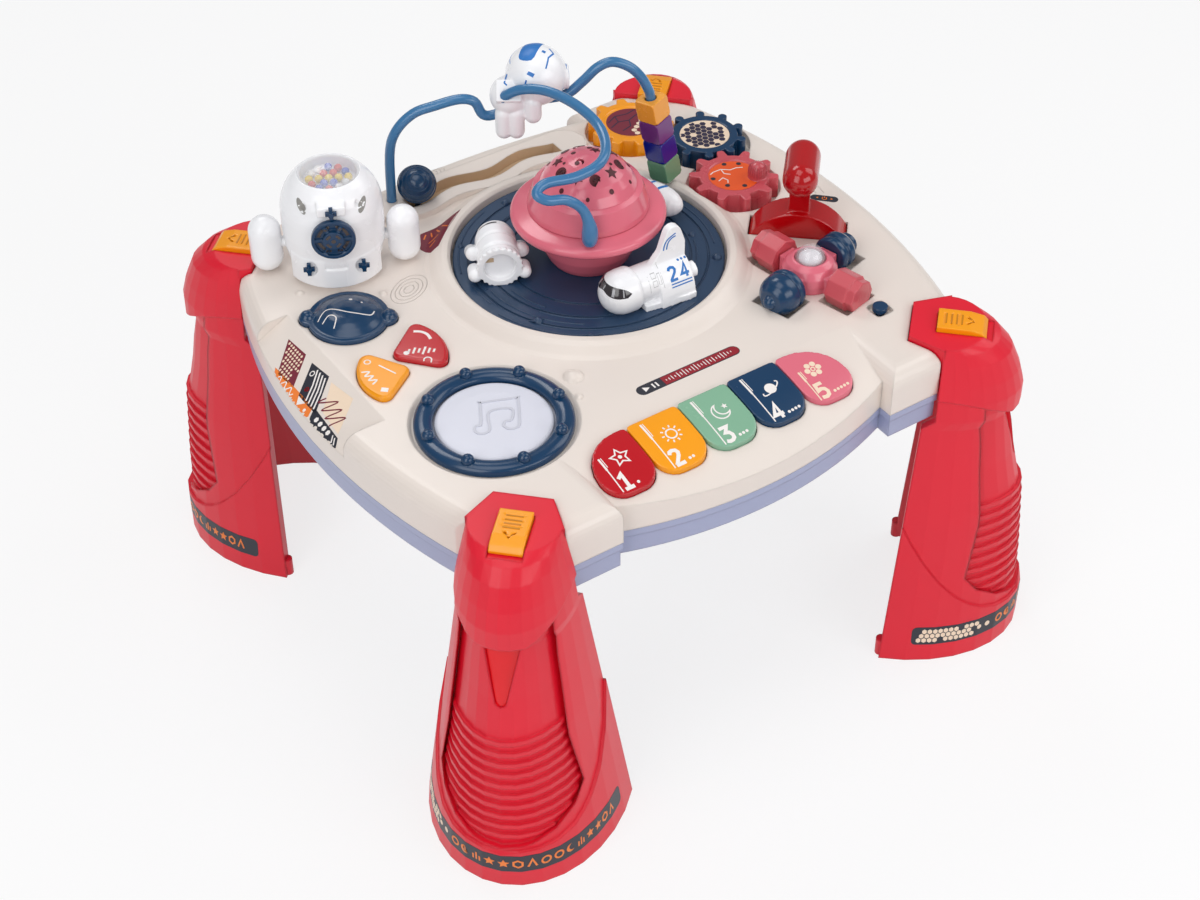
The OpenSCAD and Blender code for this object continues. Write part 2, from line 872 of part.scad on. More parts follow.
module skirt_region() {
  translate([0, foot_half + 10, 0])
    rotate([90, 0, 0])
      linear_extrude(2 * foot_half + 20)
        polygon(concat(
          [[pocket_reach, -1]],
          [[foot_reach + 20, -1]],
          [for (u = [foot_reach : -12 : pocket_reach]) [u, skirt_edge(u)]]));
}

module leg_skin() {
  difference() {
    leg_loft(body_heights, 0);
    difference() {
      facing_prism(pocket_reach + 30, foot_reach + 30)
        shield_outline(0);
      leg_loft(body_heights, panel_drop);
    }
  }
  intersection() {
    leg_loft([0, 0.1 * lip_z, 0.2 * lip_z, 0.42 * lip_z, 0.65 * lip_z], -2);
    skirt_region();
  }
  intersection() {
    leg_loft(head_heights, -2);
    facing_prism(pocket_reach, foot_reach + 30)
      lip_outline();
  }
}

module leg_ribs() {
  intersection() {
    facing_prism(pocket_reach + 40, foot_reach + 30)
      shield_outline(-1.5);
    for (i = [0 : rib_count - 1]) {
      z = rib_low_z + i * rib_pitch;
      inset = panel_drop - rib_high;
      hull()
        for (side = [-2.2, 2.2])
          translate([0, 0, side])
            leg_slice(z, rail_reach(z) - inset, leg_half(z) - inset);
    }
  }
}

// The block that fills the case's corner pocket, with the tongue behind it
module leg_root(root) {
  low = seam_z + seat;
  back = root + 0.6;
  half = pocket_half + (root - pocket_reach) * pocket_flare - 0.8;
  end = pocket_reach + 27;
  translate([0, 0, low])
    linear_extrude(head_top - low)
      polygon([[back, -half], [back, half],
        [end, half + (end - back) * pocket_flare],
        [end, -half - (end - back) * pocket_flare]]);
  translate([root - tongue_len, -tongue_half, tongue_low])
    cube([tongue_len + 3, 2 * tongue_half, tongue_high - tongue_low]);
}

module latch_recess() {
  translate([latch_in - 0.4, -latch_w / 2 - 0.4, surface_z])
    cube([latch_len + latch_travel + 0.8, latch_w + 0.8, over]);
  translate([latch_mid - 4, -3.4, surface_z - 12])
    cube([8 + latch_travel, 6.8, 20]);
}

module leg(root) {
  difference() {
    union() {
      leg_skin();
      leg_ribs();
      leg_root(root);
      intersection() {
        facing_prism(pocket_reach + 50, foot_reach)
          notch_outline(2.5);
        leg_loft(body_heights, panel_drop);
      }
    }
    leg_hollow();
    facing_prism(rail_reach(lip_z) - panel_drop - 6, foot_reach + 30)
      notch_outline(0);
    latch_recess();
  }
  for (s = [-1, 1])
    translate([leg_back(0), s * (foot_half - 5), 0])
      cylinder(r = 4, h = 15, $fn = 16);
}

// The open space inside: behind the panel, and up into the head
module leg_hollow() {
  inset = panel_drop + leg_wall;
  difference() {
    leg_loft([for (z = body_heights) z == 0 ? -0.5 : z], inset, 14);
    facing_prism(rail_reach(lip_z) - panel_drop - 6 - 2.5, foot_reach)
      notch_outline(2.5);
  }
  translate([0, 0, -0.02])
    leg_loft([seam_z, surface_z - 26, surface_z - 10, surface_z - 4 - wall + 2.5],
      inset + 1);
}

module leg_at(corner) color(red) rotate([0, 0, 45 + 90 * corner]) leg(root_at(corner));

module leg_back_right() { leg_at(0); }
module leg_back_left() { leg_at(1); }
module leg_front_left() { leg_at(2); }
module leg_front_right() { leg_at(3); }

latch_in = pocket_reach + 19;
latch_len = 35;
latch_mid = latch_in + 14;

module latch() {
  low = surface_z + seat;
  high = head_top + 4;
  difference() {
    union() {
      translate([latch_in, -latch_w / 2, low])
        cube([latch_len - 12, latch_w, high - low]);
      translate([latch_in + latch_len - 12.01, latch_w / 2, 0])
        rotate([90, 0, 0])
          linear_extrude(latch_w)
            polygon([[0, low], [12, low], [12, high - 5], [9, high - 2], [0, high]]);
    }
    for (i = [0 : 2])
      translate([latch_in + 4 + 5 * i, -latch_w / 2 + 4, high - 0.6])
        cube([1.4, latch_w - 8, 2]);
    translate([latch_in + latch_len - 9, 0, high - 3.4])
      linear_extrude(5)
        polygon([[-5.5, -4.5], [0, 0], [-5.5, 4.5], [-7, 4.5], [-1.8, 0], [-7, -4.5]]);
  }
  translate([latch_mid - 3.5, -3, surface_z - 9.5])
    cube([7, 6, 10.5]);
  translate([latch_mid - 5.5, -5, surface_z - 9.5])
    cube([11, 10, 2]);
}

module latch_at(corner) color(yellow) rotate([0, 0, 45 + 90 * corner]) latch();

module latch_back_right() { latch_at(0); }
module latch_back_left() { latch_at(1); }
module latch_front_left() { latch_at(2); }
module latch_front_right() { latch_at(3); }

// ---------- the turntable and the lamp ----------

// Studs of the turntable: direction, distance from its edge, and radius
disc_studs = [[212, 13, 3.6], [237, 4, 2], [242, 4, 1.6], [323, 6, 3.6], [343, 20, 2.8],
  [11, 5, 2.4], [100, 9, 3], [140, 5, 2.2]];

module turntable() color(slate) {
  place(turntable_at, 0) {
    rotate_extrude($fn = 144)
      polygon(concat(
        [[column_r + pin_fit, disc_low], [disc_r, disc_low], [disc_r, disc_top - 1],
          [disc_r - 1, disc_top]],
        [for (r = [disc_r - 12, disc_r - 25, disc_r - 40])
          each [[r + 1, disc_top], [r + 1, disc_top - 1], [r - 1, disc_top - 1],
            [r - 1, disc_top]]],
        [[column_r + 4, disc_top], [column_r + pin_fit, disc_top]]));
    for (stud = disc_studs)
      rotate([0, 0, stud[0]])
        translate([disc_r - stud[1], 0, disc_top - 0.5])
          sphere(r = stud[2], $fn = 28);
  }
}

module above_disc() {
  intersection() {
    union() children();
    translate([-150, -150, disc_top])
      cube([300, 300, 120]);
  }
}

// A figure's place: turned round the turntable, its own +X pointing along the ring
module on_disc(turn, heading, ring) {
  place(turntable_at, 0)
    rotate([0, 0, turn])
      translate([ring, 0, 0])
        rotate([0, 0, heading])
          children();
}

shuttle_turn = 275;
shuttle_r = 16.5;

module shuttle() color(white) on_disc(shuttle_turn, 83, 66) above_disc() {
  z = disc_top + 14;
  // fuselage: a round nose towards -X, and a narrower hold behind it
  translate([0, 0, z])
    rotate([0, -90, 0])
      rotate_extrude($fn = 48)
        polygon(concat(
          [[0, -33], [7, -33], [9, -30], [shuttle_r - 4, -29], [shuttle_r - 2.5, -24],
            [shuttle_r - 2.5, 12.5], [shuttle_r - 1, 12.5], [shuttle_r, 15]],
          [for (a = [0 : 15 : 90]) [shuttle_r * cos(a), 22 + shuttle_r * sin(a)]]));
  // arched hips that carry the fin and run out into the wings
  translate([2, 0, disc_top - 1])
    rotate([90, 0, 90])
      linear_extrude(28)
        polygon(arch(18.5, 29));
  linear_extrude(disc_top + 5)
    polygon([[-10, 15], [24, 19.5], [30, 19], [33, 8], [33, -8], [30, -19], [24, -19.5],
      [-10, -15]]);
  // tail fin
  translate([0, 3, 0])
    rotate([90, 0, 0])
      linear_extrude(6)
        polygon(concat(
          [[30, z + 12], [0, z + 12], [9, z + 23]],
          arc([20, z + 35], 6.5, 160, 20, 5),
          [[30, z + 26]]));
  // engine bells
  for (s = [-1, 1])
    translate([28, s * 7, z + 2])
      rotate([0, 90, 0])
        cylinder(r1 = 4.5, r2 = 6, h = 7, $fn = 32);
}

// A round arch, from (half, 0) over (0, high) to (-half, 0)
function arch(half, high) =
  [for (a = [0 : 10 : 180]) [half * cos(a), high * sin(a)]];

station_turn = 161;

module space_station() color(white) on_disc(station_turn, 263, 68) above_disc() {
  z = disc_top + 15.5;
  // barrel: its toothed ring faces -X
  translate([0, 0, z])
    rotate([0, -90, 0])
      rotate_extrude($fn = 48)
        polygon([[0, -26], [8, -25], [13, -21], [15, -14], [15, -6], [14, -5.5], [14, -3],
          [15.5, -2.5], [15.5, 8], [14, 8.5], [14, 12], [16, 12.5], [16, 17], [11.5, 17],
          [11.5, 15], [0, 15]]);
  translate([-17, 0, z])
    rotate([0, -90, 0])
      linear_extrude(2.5)
        difference() {
          polygon(star(17, 15.6, 24));
          circle(11.5, $fn = 40);
        }
  // two-part arms
  for (s = [-1, 1]) {
    translate([6, s * 17.8, z - 3])
      rotate([0, -60, 0])
        pill(5.2, 17);
    translate([-11, s * 17.8, z - 8.5])
      rotate([0, -80, 0])
        pill(5, 9);
    translate([3, s * 13, z - 4])
      rotate([-90 * s, 0, 0])
        cylinder(r = 3, h = 6, $fn = 24);
  }
}

// A cylinder with ball ends, centred and upright
module pill(r, straight) {
  translate([0, 0, -straight / 2])
    cylinder(r = r, h = straight, $fn = 32);
  for (s = [-1, 1])
    translate([0, 0, s * straight / 2])
      sphere(r = r, $fn = 32);
}

rocket_turn = 20;

module rocket() color(white) on_disc(rocket_turn, 95, 71) above_disc() {
  z = disc_top + 12;
  translate([0, 0, z])
    rotate([0, -90, 0])
      rotate_extrude($fn = 48)
        polygon(concat(
          [[0, -26], [8, -26], [9, -22], [12, -20]],
          [for (a = [0 : 15 : 90]) [12.5 * cos(a), 8 + 24 * sin(a)]]));
  for (turn = [0, 90, 180])
    translate([0, 0, z])
      rotate([turn - 90, 0, 0])
        translate([0, 1.2, 0])
          rotate([90, 0, 0])
            linear_extrude(2.4)
              polygon([[6, 9], [16, 19], [27, 19], [24, 8]]);
}

module lamp_base() color(pink) {
  place(turntable_at, 0)
    rotate_extrude($fn = 120)
      polygon(concat(
        [[0, deck_z], [column_r, deck_z], [column_r, disc_top + seat],
          [28, disc_top + seat], [31, disc_top + 5], [35, disc_top + 14],
          [37.5, brim_z - 16], [41, brim_z - 12], [50, brim_z - 6]],
        arc([brim_r - 4.2, brim_z - 0.3], 4.2, -60, 75, 5),
        [[dome_r + 8, brim_z + 5.5], [dome_r + 3, brim_z + 6.5], [dome_r + 3, brim_z - 2],
          [0, brim_z - 2]]));
  place(turntable_at, brim_z - 2)
    difference() {
      cylinder(r = 26, h = 4, $fn = 60);
      translate([0, 0, -1])
        cylinder(r = 22, h = 6, $fn = 60);
    }
}

lamp_skirt_z = brim_z + 6.5;
dome_mid = brim_z + 9.5;

module lamp_dome() color(pink) {
  thick = 2.2;
  foot = dome_r + 6;
  rise = sqrt(dome_r * dome_r - 35 * 35);
  place(turntable_at, 0)
    difference() {
      rotate_extrude($fn = 96)
        polygon(concat(
          [[foot - thick, lamp_skirt_z], [foot, lamp_skirt_z],
            [foot - 0.6, lamp_skirt_z + 4], [dome_r + 1.2, dome_mid + rise - 2],
            [35.8, dome_mid + rise]],
          [for (a = [asin(rise / dome_r) : 11 : 89])
            [dome_r * cos(a), dome_mid + dome_r * sin(a)]],
          [[0, dome_mid + dome_r]],
          [[0, dome_mid + dome_r - thick]],
          [for (a = [89 : -11 : asin(rise / dome_r)])
            [(dome_r - thick) * cos(a), dome_mid + (dome_r - thick) * sin(a)]],
          [[35.8 - thick, dome_mid + rise], [dome_r + 1.2 - thick, dome_mid + rise - 2]]));
      dome_holes();
    }
}

// Star, moon and dot holes, in rings that tilt out from the top
module dome_holes() {
  for (i = [0 : 4]) {
    dome_hole(34, 72 * i) linear_extrude(16) polygon(star(3.8, 1.7, 5));
    dome_hole(36, 72 * i + 34) linear_extrude(16) moon(3.4);
    dome_hole(17, 72 * i + 50) linear_extrude(16) circle(1.3, $fn = 20);
    dome_hole(52, 72 * i + 54) linear_extrude(16) circle(1.5, $fn = 20);
  }
  dome_hole(14, 20) linear_extrude(16) polygon(star(3.4, 1.5, 5));
  dome_hole(14, 200) linear_extrude(16) moon(3);
}

module dome_hole(tilt, turn) {
  translate([0, 0, dome_mid])
    rotate([0, tilt, turn])
      translate([0, 0, dome_r - 8])
        children();
}

module moon(r) {
  difference() {
    circle(r, $fn = 28);
    translate([r * 0.55, 0])
      circle(r * 0.85, $fn = 28);
  }
}

module lamp_board() color("#f4f4f0") {
  place(turntable_at, brim_z + 2) {
    cylinder(r = 28, h = 1.6, $fn = 60);
    for (i = [0 : 2])
      rotate([0, 0, 120 * i])
        translate([10, 0, 1.6])
          cylinder(r = 2.5, h = 5, $fn = 24);
  }
}

// ---------- the drum, the keys and the buttons ----------

module drum_ring() color(navy) {
  mid = (drum_r + pad_r + 1) / 2;
  half = (drum_r - pad_r - 1) / 2;
  place(drum_at, 0) {
    rotate_extrude($fn = 96)
      polygon(concat(
        [[mid - half + 0.4, drum_deck], [mid + half, drum_deck]],
        [for (a = [0 : 22.5 : 180])
          [mid + half * cos(a), drum_deck + 3 + (drum_ring_h - 3) * sin(a)]]));
    for (i = [0 : 7])
      rotate([0, 0, 45 * i - 8])
        translate([mid, 0, drum_deck + drum_ring_h - 0.5])
          sphere(r = 3.6, $fn = 28);
  }
}

module drum_pad() color("#dedfeb") {
  low = drum_deck - 4.5;
  place(drum_at, 0)
    rotate_extrude($fn = 96)
      polygon([[0, low], [pad_r + 2.6, low], [pad_r + 2.6, drum_deck - 0.5],
        [pad_r, drum_deck - 0.5], [pad_r, drum_deck + 2], [pad_r - 2, drum_deck + 3.2],
        [pad_r - 12, drum_deck + 4], [0, drum_deck + 4.5]]);
}

module mode_button() color("#cd1423") {
  translate([0, 0, button_low])
    linear_extrude(surface_z + 3 - button_low)
      mode_outline(0);
  translate([0, 0, surface_z + 2.9])
    linear_extrude(1.3)
      mode_outline(-1.2);
}

module song_button() color(yellow) {
  translate([0, 0, button_low])
    linear_extrude(surface_z + 3 - button_low)
      song_outline(0);
  translate([0, 0, surface_z + 2.9])
    linear_extrude(1.3)
      song_outline(-1.2);
}

module planet_button() color(navy) {
  cap = planet_r - 4;
  rise = 8;
  ball = bow_radius(cap, rise);
  translate([0, 0, button_low])
    linear_extrude(surface_z + 3 - button_low)
      planet_outline(0);
  place(planet_at, surface_z + 3)
    rotate_extrude($fn = 72)
      polygon(concat(
        [[0, -0.5], [cap, -0.5]],
        [for (a = [asin(cap / ball) : -asin(cap / ball) / 5 : 0.1])
          [ball * sin(a), rise - ball + ball * cos(a)]],
        [[0, rise]]));
  for (s = [-1, 1])
    translate([planet_at[0] + s * planet_r * cos(33), planet_at[1] - s * planet_r * sin(33),
      surface_z + 2])
      sphere(r = 5.5, $fn = 32);
}

module key(i) {
  intersection() {
    translate([0, 0, key_low])
      linear_extrude(surface_z + 8 - key_low)
        key_outline(i, 0);
    crown(key_rise);
  }
  translate([key_x + (i - 3) * key_pitch, key_y - key_len / 2, key_stem_low()])
    cylinder(r = 4, h = key_low - key_stem_low() + 1, $fn = 36);
}

module key_1() color("#c4202c") key(1);
module key_2() color(yellow) key(2);
module key_3() color("#82b496") key(3);
module key_4() color(navy) key(4);
module key_5() color(pink) key(5);

module power_button() color(navy) {
  place(power_at, 0) {
    translate([0, 0, surface_z - 4 + press + seat])
      cylinder(r = power_r, h = 4, $fn = 36);
    translate([0, 0, surface_z - 9])
      cylinder(r = 3, h = 9, $fn = 36);
  }
}

// ---------- the gears, the lever and the spinner ----------

module gear_body(root) {
  translate([0, 0, gear_low])
    difference() {
      linear_extrude(gear_h)
        difference() {
          children();
          circle(post_r + pin_fit, $fn = 36);
        }
      translate([0, 0, gear_h - 1])
        cylinder(r = root - 6, h = 2, $fn = 60);
    }
  translate([0, 0, gear_low + gear_h - 4])
    cylinder(r = root - 7, h = 3, $fn = 60);
}

module tooth_ring(root, tip, base_half, tip_half) {
  circle(root, $fn = 72);
  for (i = [0 : gear_teeth - 1])
    rotate(360 * i / gear_teeth)
      polygon([[root - 3, -base_half], [tip - 1.5, -tip_half], [tip, -tip_half + 1.2],
        [tip, tip_half - 1.2], [tip - 1.5, tip_half], [root - 3, base_half]]);
}

module knob_ring(root, reach, r) {
  circle(root, $fn = 72);
  for (i = [0 : gear_teeth - 1])
    rotate(360 * i / gear_teeth)
      translate([reach, 0])
        circle(r, $fn = 28);
}

module gear_pink() color("#dc737d") {
  place(gear_pink_at, 0) {
    gear_body(pitch_r - 3.5)
      tooth_ring(pitch_r - 3.5, pitch_r + 4, 4.6, 3);
    translate([14, -11, gear_low + gear_h - 1])
      cylinder(r = 7, h = 6, $fn = 40);
    translate([14, -11, gear_low + gear_h + 5])
      intersection() {
        sphere(r = 7, $fn = 40);
        cylinder(r = 8, h = 8, $fn = 40);
      }
  }
}

module gear_blue() color(navy) {
  place(gear_blue_at, 0)
    rotate([0, 0, blue_phase])
      gear_body(pitch_r - 4.2)
        knob_ring(pitch_r - 4.2, pitch_r - 1, 3.5);
}

module gear_yellow() color("#ffa50a") {
  place(gear_yellow_at, 0)
    rotate([0, 0, yellow_phase])
      gear_body(pitch_r - 2.5)
        tooth_ring(pitch_r - 2.5, pitch_r + 3.5, 5, 3.6);
}

module lever() color("#cd1423") {
  neck_w = 15;
  sector_half = 84;
  grip_z = surface_z + 52 - lever_pin_z;
  place(lever_at, lever_pin_z)
    rotate([0, 0, lever_turn]) {
      difference() {
        union() {
          difference() {
            rotate([0, 90, 0])
              cylinder(r = sector_arm, h = sector_w, center = true, $fn = 120);
            for (s = [-1, 1])
              rotate([s * (90 - sector_half), 0, 0])
                translate([-over, -over, -over])
                  cube([2 * over, 2 * over, over]);
          }
          rotate([0, 90, 0])
            cylinder(r = lever_pin_r + 4, h = sector_w, center = true, $fn = 48);
          translate([-neck_w / 2, -neck_w / 2, sector_arm - 4])
            cube([neck_w, neck_w, grip_z - sector_arm]);
        }
        rotate([0, 90, 0])
          cylinder(r = lever_pin_r + pin_fit, h = over, center = true, $fn = 36);
      }
      translate([2, 0, grip_z])
        rotate([0, 90, 0])
          pill(13, 29);
    }
}

module lever_pin() color("silver") {
  place(lever_at, lever_pin_z)
    rotate([0, 90, lever_turn])
      cylinder(r = lever_pin_r, h = sector_w + 2 * gap + 4 * wall, center = true, $fn = 36);
}

module satellite_body() color(pink) {
  place(satellite_at, 0) {
    rotate_extrude($fn = 72)
      polygon([[0, surface_z], [19.5, surface_z], [20.5, surface_z + 6], [20, surface_z + 12],
        [17, surface_z + 17], [13, surface_z + 20], [11.5, surface_z + 20],
        [11.5, surface_z + 13], [0, surface_z + 13]]);
    for (turn = arm_turns)
      translate([0, 0, roller_z])
        rotate([0, 90, turn])
          translate([0, 0, 16])
            cylinder(r = arm_r, h = arm_out - 16, $fn = 36);
    for (turn = arm_turns)
      rotate([0, 0, turn])
        translate([15, -7, surface_z])
          cube([roller_in - 15 - gap, 14, 13]);
  }
}

module satellite_dome() color(glass) {
  place(satellite_at, surface_z + 13)
    rotate_extrude($fn = 60)
      polygon(concat(
        [[10, 0], [11.3, 0]],
        [for (a = [0 : 15 : 75]) [11.3 * cos(a), 5 + 11.3 * sin(a)]],
        [[0, 16.3], [0, 15]],
        [for (a = [75 : -15 : 0]) [10 * cos(a), 5 + 10 * sin(a)]]));
}

module at_roller(k) {
  place(satellite_at, roller_z)
    rotate([0, 0, arm_turns[k]])
      rotate([0, 90, 0])
        translate([0, 0, roller_in])
          children();
}

module roller_bore() {
  translate([0, 0, -1])
    cylinder(r = arm_r + pin_fit, h = arm_out - roller_in + 1 + gap, $fn = 36);
}

module pink_roller() {
  difference() {
    union() {
      cylinder(r = roller_r, h = roller_len - 3, $fn = 8);
      translate([0, 0, roller_len - 3])
        cylinder(r = roller_r - 1.5, h = 6.5, $fn = 8);
    }
    roller_bore();
  }
}

module roller_pink_left() color(pink) at_roller(0) pink_roller();
module roller_pink_right() color(pink) at_roller(2) pink_roller();

module blue_roller(tip) {
  difference() {
    rotate_extrude($fn = 60)
      polygon(concat(
        [[0, 0], [roller_r - 1, 0], [roller_r, 2], [roller_r, 5], [roller_r - 1.2, 6],
          [roller_r - 1.2, 7.5], [roller_r, 8.5], [roller_r, 13]],
        tip));
    roller_bore();
  }
}

module roller_blue_back() color(navy) at_roller(1)
  blue_roller([[roller_r - 3, 17], [8, 20], [8, roller_len + 3.5], [0, roller_len + 3.5]]);

module roller_blue_front() color(navy) at_roller(3) {
  blue_roller([[roller_r, 14], [7, roller_len + 2], [6, roller_len + 4], [0, roller_len + 4]]);
  translate([0, 0, roller_len + 4])
    intersection() {
      sphere(r = 5, $fn = 32);
      translate([0, 0, -0.2])
        cylinder(r = 6, h = 6, $fn = 32);
    }
}

// ---------- the capsule ----------

module at_capsule() {
  place(capsule_at, 0)
    rotate([0, 0, capsule_turn])
      children();
}

module capsule_shell() color(white) {
  thick = 2.2;
  cut = asin(sqrt(capsule_r * capsule_r - window_r * window_r) / capsule_r);
  at_capsule() {
    difference() {
      union() {
        rotate_extrude($fn = 96)
          polygon(concat(
            [[0, surface_z], [31, surface_z], [31, surface_z + 3], [30, surface_z + 5],
              [33.5, surface_z + 13], [capsule_r - 0.8, surface_z + 24],
              [capsule_r, surface_z + 37]],
            [for (i = [0 : 6]) capsule_r * [cos(cut * i / 6), 0]
              + [0, capsule_mid + capsule_r * sin(cut * i / 6)]],
            [[window_r - thick, capsule_mid + capsule_r * sin(cut) - 1.2]],
            [[window_r - thick, tray_z], [0, tray_z]]));
        // hinge plates and the flap at the foot of the front
        intersection() {
          rotate_extrude($fn = 96)
            translate([25, surface_z + 4.5])
              square([capsule_r - 25.2, 22.5]);
          union() {
            for (s = [-1, 1])
              translate([s * 20 - 12, -capsule_r - 1, surface_z])
                cube([24, 28, 40]);
            translate([-10, -capsule_r - 1, surface_z])
              cube([20, 20, 20]);
          }
        }
        translate([-10, -capsule_r - 0.6, surface_z + 67])
          cube([20, 12, 7]);
        // axles
        for (s = [-1, 1])
          translate([s * 28, 0, pod_z])
            rotate([0, s * 90, 0])
              cylinder(r = pod_axle_r, h = pod_reach - 28 - 5, $fn = 36);
        translate([0, -28, wheel_z])
          rotate([90, 0, 0])
            cylinder(r = 3, h = capsule_r + gap + wheel_w - 1 - 28, $fn = 36);
      }
      translate([0, 0, surface_z + 4])
        rotate_extrude($fn = 96)
          polygon([[0, 0], [27, 0], [capsule_r - 7, 22], [capsule_r - 4, 34],
            [capsule_r - 4, capsule_h], [window_r + 4, capsule_h + 11],
            [0, capsule_h + 11]]);
      for (s = [-1, 1]) {
        translate([s * 20, -24, surface_z + 69])
          rotate([90, 0, 0])
            cylinder(r = 3, h = over, $fn = 24);
        translate([s * pin_out, pin_seat_y, surface_z + 20])
          rotate([90, 0, 0])
            cylinder(r = 6, h = over, $fn = 36);
      }
    }
  }
}

module capsule_window() color(glass) {
  thick = 1.8;
  cut = asin(sqrt(capsule_r * capsule_r - window_r * window_r) / capsule_r);
  at_capsule()
    rotate_extrude($fn = 96)
      polygon(concat(
        [for (i = [0 : 6])
          let (a = cut + (90 - cut) * i / 6)
          [i == 6 ? 0 : capsule_r * cos(a), capsule_mid + capsule_r * sin(a)]],
        [for (i = [6 : -1 : 0])
          let (a = cut + (90 - cut) * i / 6)
          [i == 6 ? 0 : (capsule_r - thick) * cos(a),
            capsule_mid + (capsule_r - thick) * sin(a) + 1.2 * (1 - i / 6)]]));
}

module rattle_balls() {
  ball = 2.9;
  at_capsule()
    for (ring = [[0, 1], [7, 6], [14, 12]])
      for (i = [0 : ring[1] - 1])
        color(["#e8332c", "#f4d40c", "#2848c8", "#f2f2f2"][i % 4])
          rotate([0, 0, 360 * i / ring[1]])
            translate([ring[0], 0, tray_z + ball + 0.05])
              sphere(r = ball, $fn = 24);
}

module cross_pin() {
  rotate([90, 0, 0]) {
    cylinder(r = 2, h = 4, $fn = 24);
    translate([-1.4, -5, 0])
      cube([2.8, 10, 2.4]);
    translate([-4, -1.4, 0])
      cube([8, 2.8, 2.4]);
  }
}

module capsule_pins() color(navy) {
  at_capsule() {
    for (s = [-1, 1])
      translate([s * pin_out, pin_seat_y, surface_z + 20])
        cross_pin();
    translate([0, -capsule_r - 0.6, surface_z + 70.5])
      cross_pin();
  }
}

module capsule_wheel() color(navy) {
  at_capsule()
    translate([0, -capsule_r - gap, wheel_z])
      rotate([90, 0, 0])
        difference() {
          union() {
            difference() {
              cylinder(r = wheel_r, h = wheel_w - 1, $fn = 60);
              translate([0, 0, 1.5])
                cylinder(r = wheel_r - 2.6, h = wheel_w, $fn = 60);
            }
            cylinder(r = 7.5, h = wheel_w, $fn = 40);
            for (turn = [0 : 60 : 120])
              rotate([0, 0, turn])
                translate([-wheel_r + 1.5, -1.4, 0])
                  cube([2 * wheel_r - 3, 2.8, wheel_w - 1.6]);
          }
          translate([0, 0, -1])
            cylinder(r = 3 + pin_fit, h = wheel_w + 0.5, $fn = 36);
        }
}

module pod(s) {
  at_capsule()
    difference() {
      translate([s * pod_reach, 0, pod_z])
        pill(pod_r, 2 * pod_half);
      translate([s * (pod_reach - pod_r - 1), 0, pod_z])
        rotate([0, s * 90, 0])
          cylinder(r = pod_axle_r + pin_fit, h = pod_r - 3.5, $fn = 36);
    }
}

module pod_left() color(white) pod(-1);
module pod_right() color(white) pod(1);

// ---------- the slider and the bead maze ----------

module slider_knob() color(navy) {
  low = surface_z + plateau_h + seat;
  translate([slider_x, groove_y, 0]) {
    intersection() {
      translate([0, 0, low + ball_r - 3])
        sphere(r = ball_r, $fn = 60);
      translate([-over / 2, -over / 2, low])
        cube([over, over, over]);
    }
    translate([0, 0, deck_z + seat])
      cylinder(r = 2.4, h = low - deck_z, $fn = 24);
  }
}

function unit(v) = v / norm(v);

// Points of a smooth curve through the route, with n steps between each two
function smooth(route, n) =
  let (last = len(route) - 1)
  concat(
    [for (i = [0 : last - 1]) for (k = [0 : n - 1])
      let (
        a = route[max(i - 1, 0)], b = route[i], c = route[i + 1],
        d = route[min(i + 2, last)], t = k / n)
      0.5 * (2 * b + t * (c - a) + t * t * (2 * a - 5 * b + 4 * c - d)
        + t * t * t * (3 * b - a - 3 * c + d))],
    [route[last]]);

function tangents(p) =
  [for (i = [0 : len(p) - 1]) unit(p[min(i + 1, len(p) - 1)] - p[max(i - 1, 0)])];

// Carries one side direction along the curve without twist
function carried(t, n, i = 0) =
  i == len(t) ? [] :
  let (m = unit(n - (n * t[i]) * t[i]))
  concat([m], carried(t, m, i + 1));

module tube(p, r, start, sides = 10) {
  t = tangents(p);
  side = carried(t, start);
  rings = len(p);
  points = [for (i = [0 : rings - 1]) for (k = [0 : sides - 1])
    let (a = 360 * k / sides)
    p[i] + r * (cos(a) * side[i] + sin(a) * cross(t[i], side[i]))];
  faces = concat(
    [[for (k = [0 : sides - 1]) k]],
    [for (i = [0 : rings - 2]) for (k = [0 : sides - 1])
      [i * sides + k, (i + 1) * sides + k,
        (i + 1) * sides + (k + 1) % sides, i * sides + (k + 1) % sides]],
    [[for (k = [sides - 1 : -1 : 0]) (rings - 1) * sides + k]]);
  polyhedron(points = points, faces = faces, convexity = 8);
}

module long_tube(r) {
  route = [for (i = [0 : len(long_route) - 2]) long_route[i]];
  tube(concat(smooth(route, 3), [bead_foot]), r, [1, 0, 0]);
}

module short_tube(r) {
  tube(smooth(short_route, 3), r, [1, 0, 0]);
}

module maze_wire_long() color(blue) long_tube(wire_r);
module maze_wire_short() color(blue) short_tube(wire_r);

helmet_at = [32, 119, surface_z + 105];
helmet_r = 22.5;
body_at = helmet_at + [-21, 4, -12];

// The astronaut flies along the long wire, head first, with the limbs hanging down
module flying_astronaut() color(white) {
  difference() {
    union() {
      translate(helmet_at) {
        sphere(r = helmet_r, $fn = 48);
        rotate([0, 90, -28])
          translate([3, 0, helmet_r - 4])
            cylinder(r = 9, h = 5, $fn = 40);
      }
      translate(body_at)
        sphere(r = 14.5, $fn = 40);
      // pack on the back
      along(body_at, body_at + [-4, -6, 7])
        translate([-8, -9, 8])
          cube([16, 18, 8]);
      // legs, then arms
      for (limb = [[-29, 0, -30, 14], [-21.5, -5, -30, 14], [-11, -12, -19, 10],
          [-19, 13, -21, 10]])
        translate(helmet_at + [limb[0], limb[1], limb[2]])
          pill(6.3, limb[3]);
    }
    long_tube(wire_r + 0.05);
    short_tube(wire_r + 0.05);
  }
}

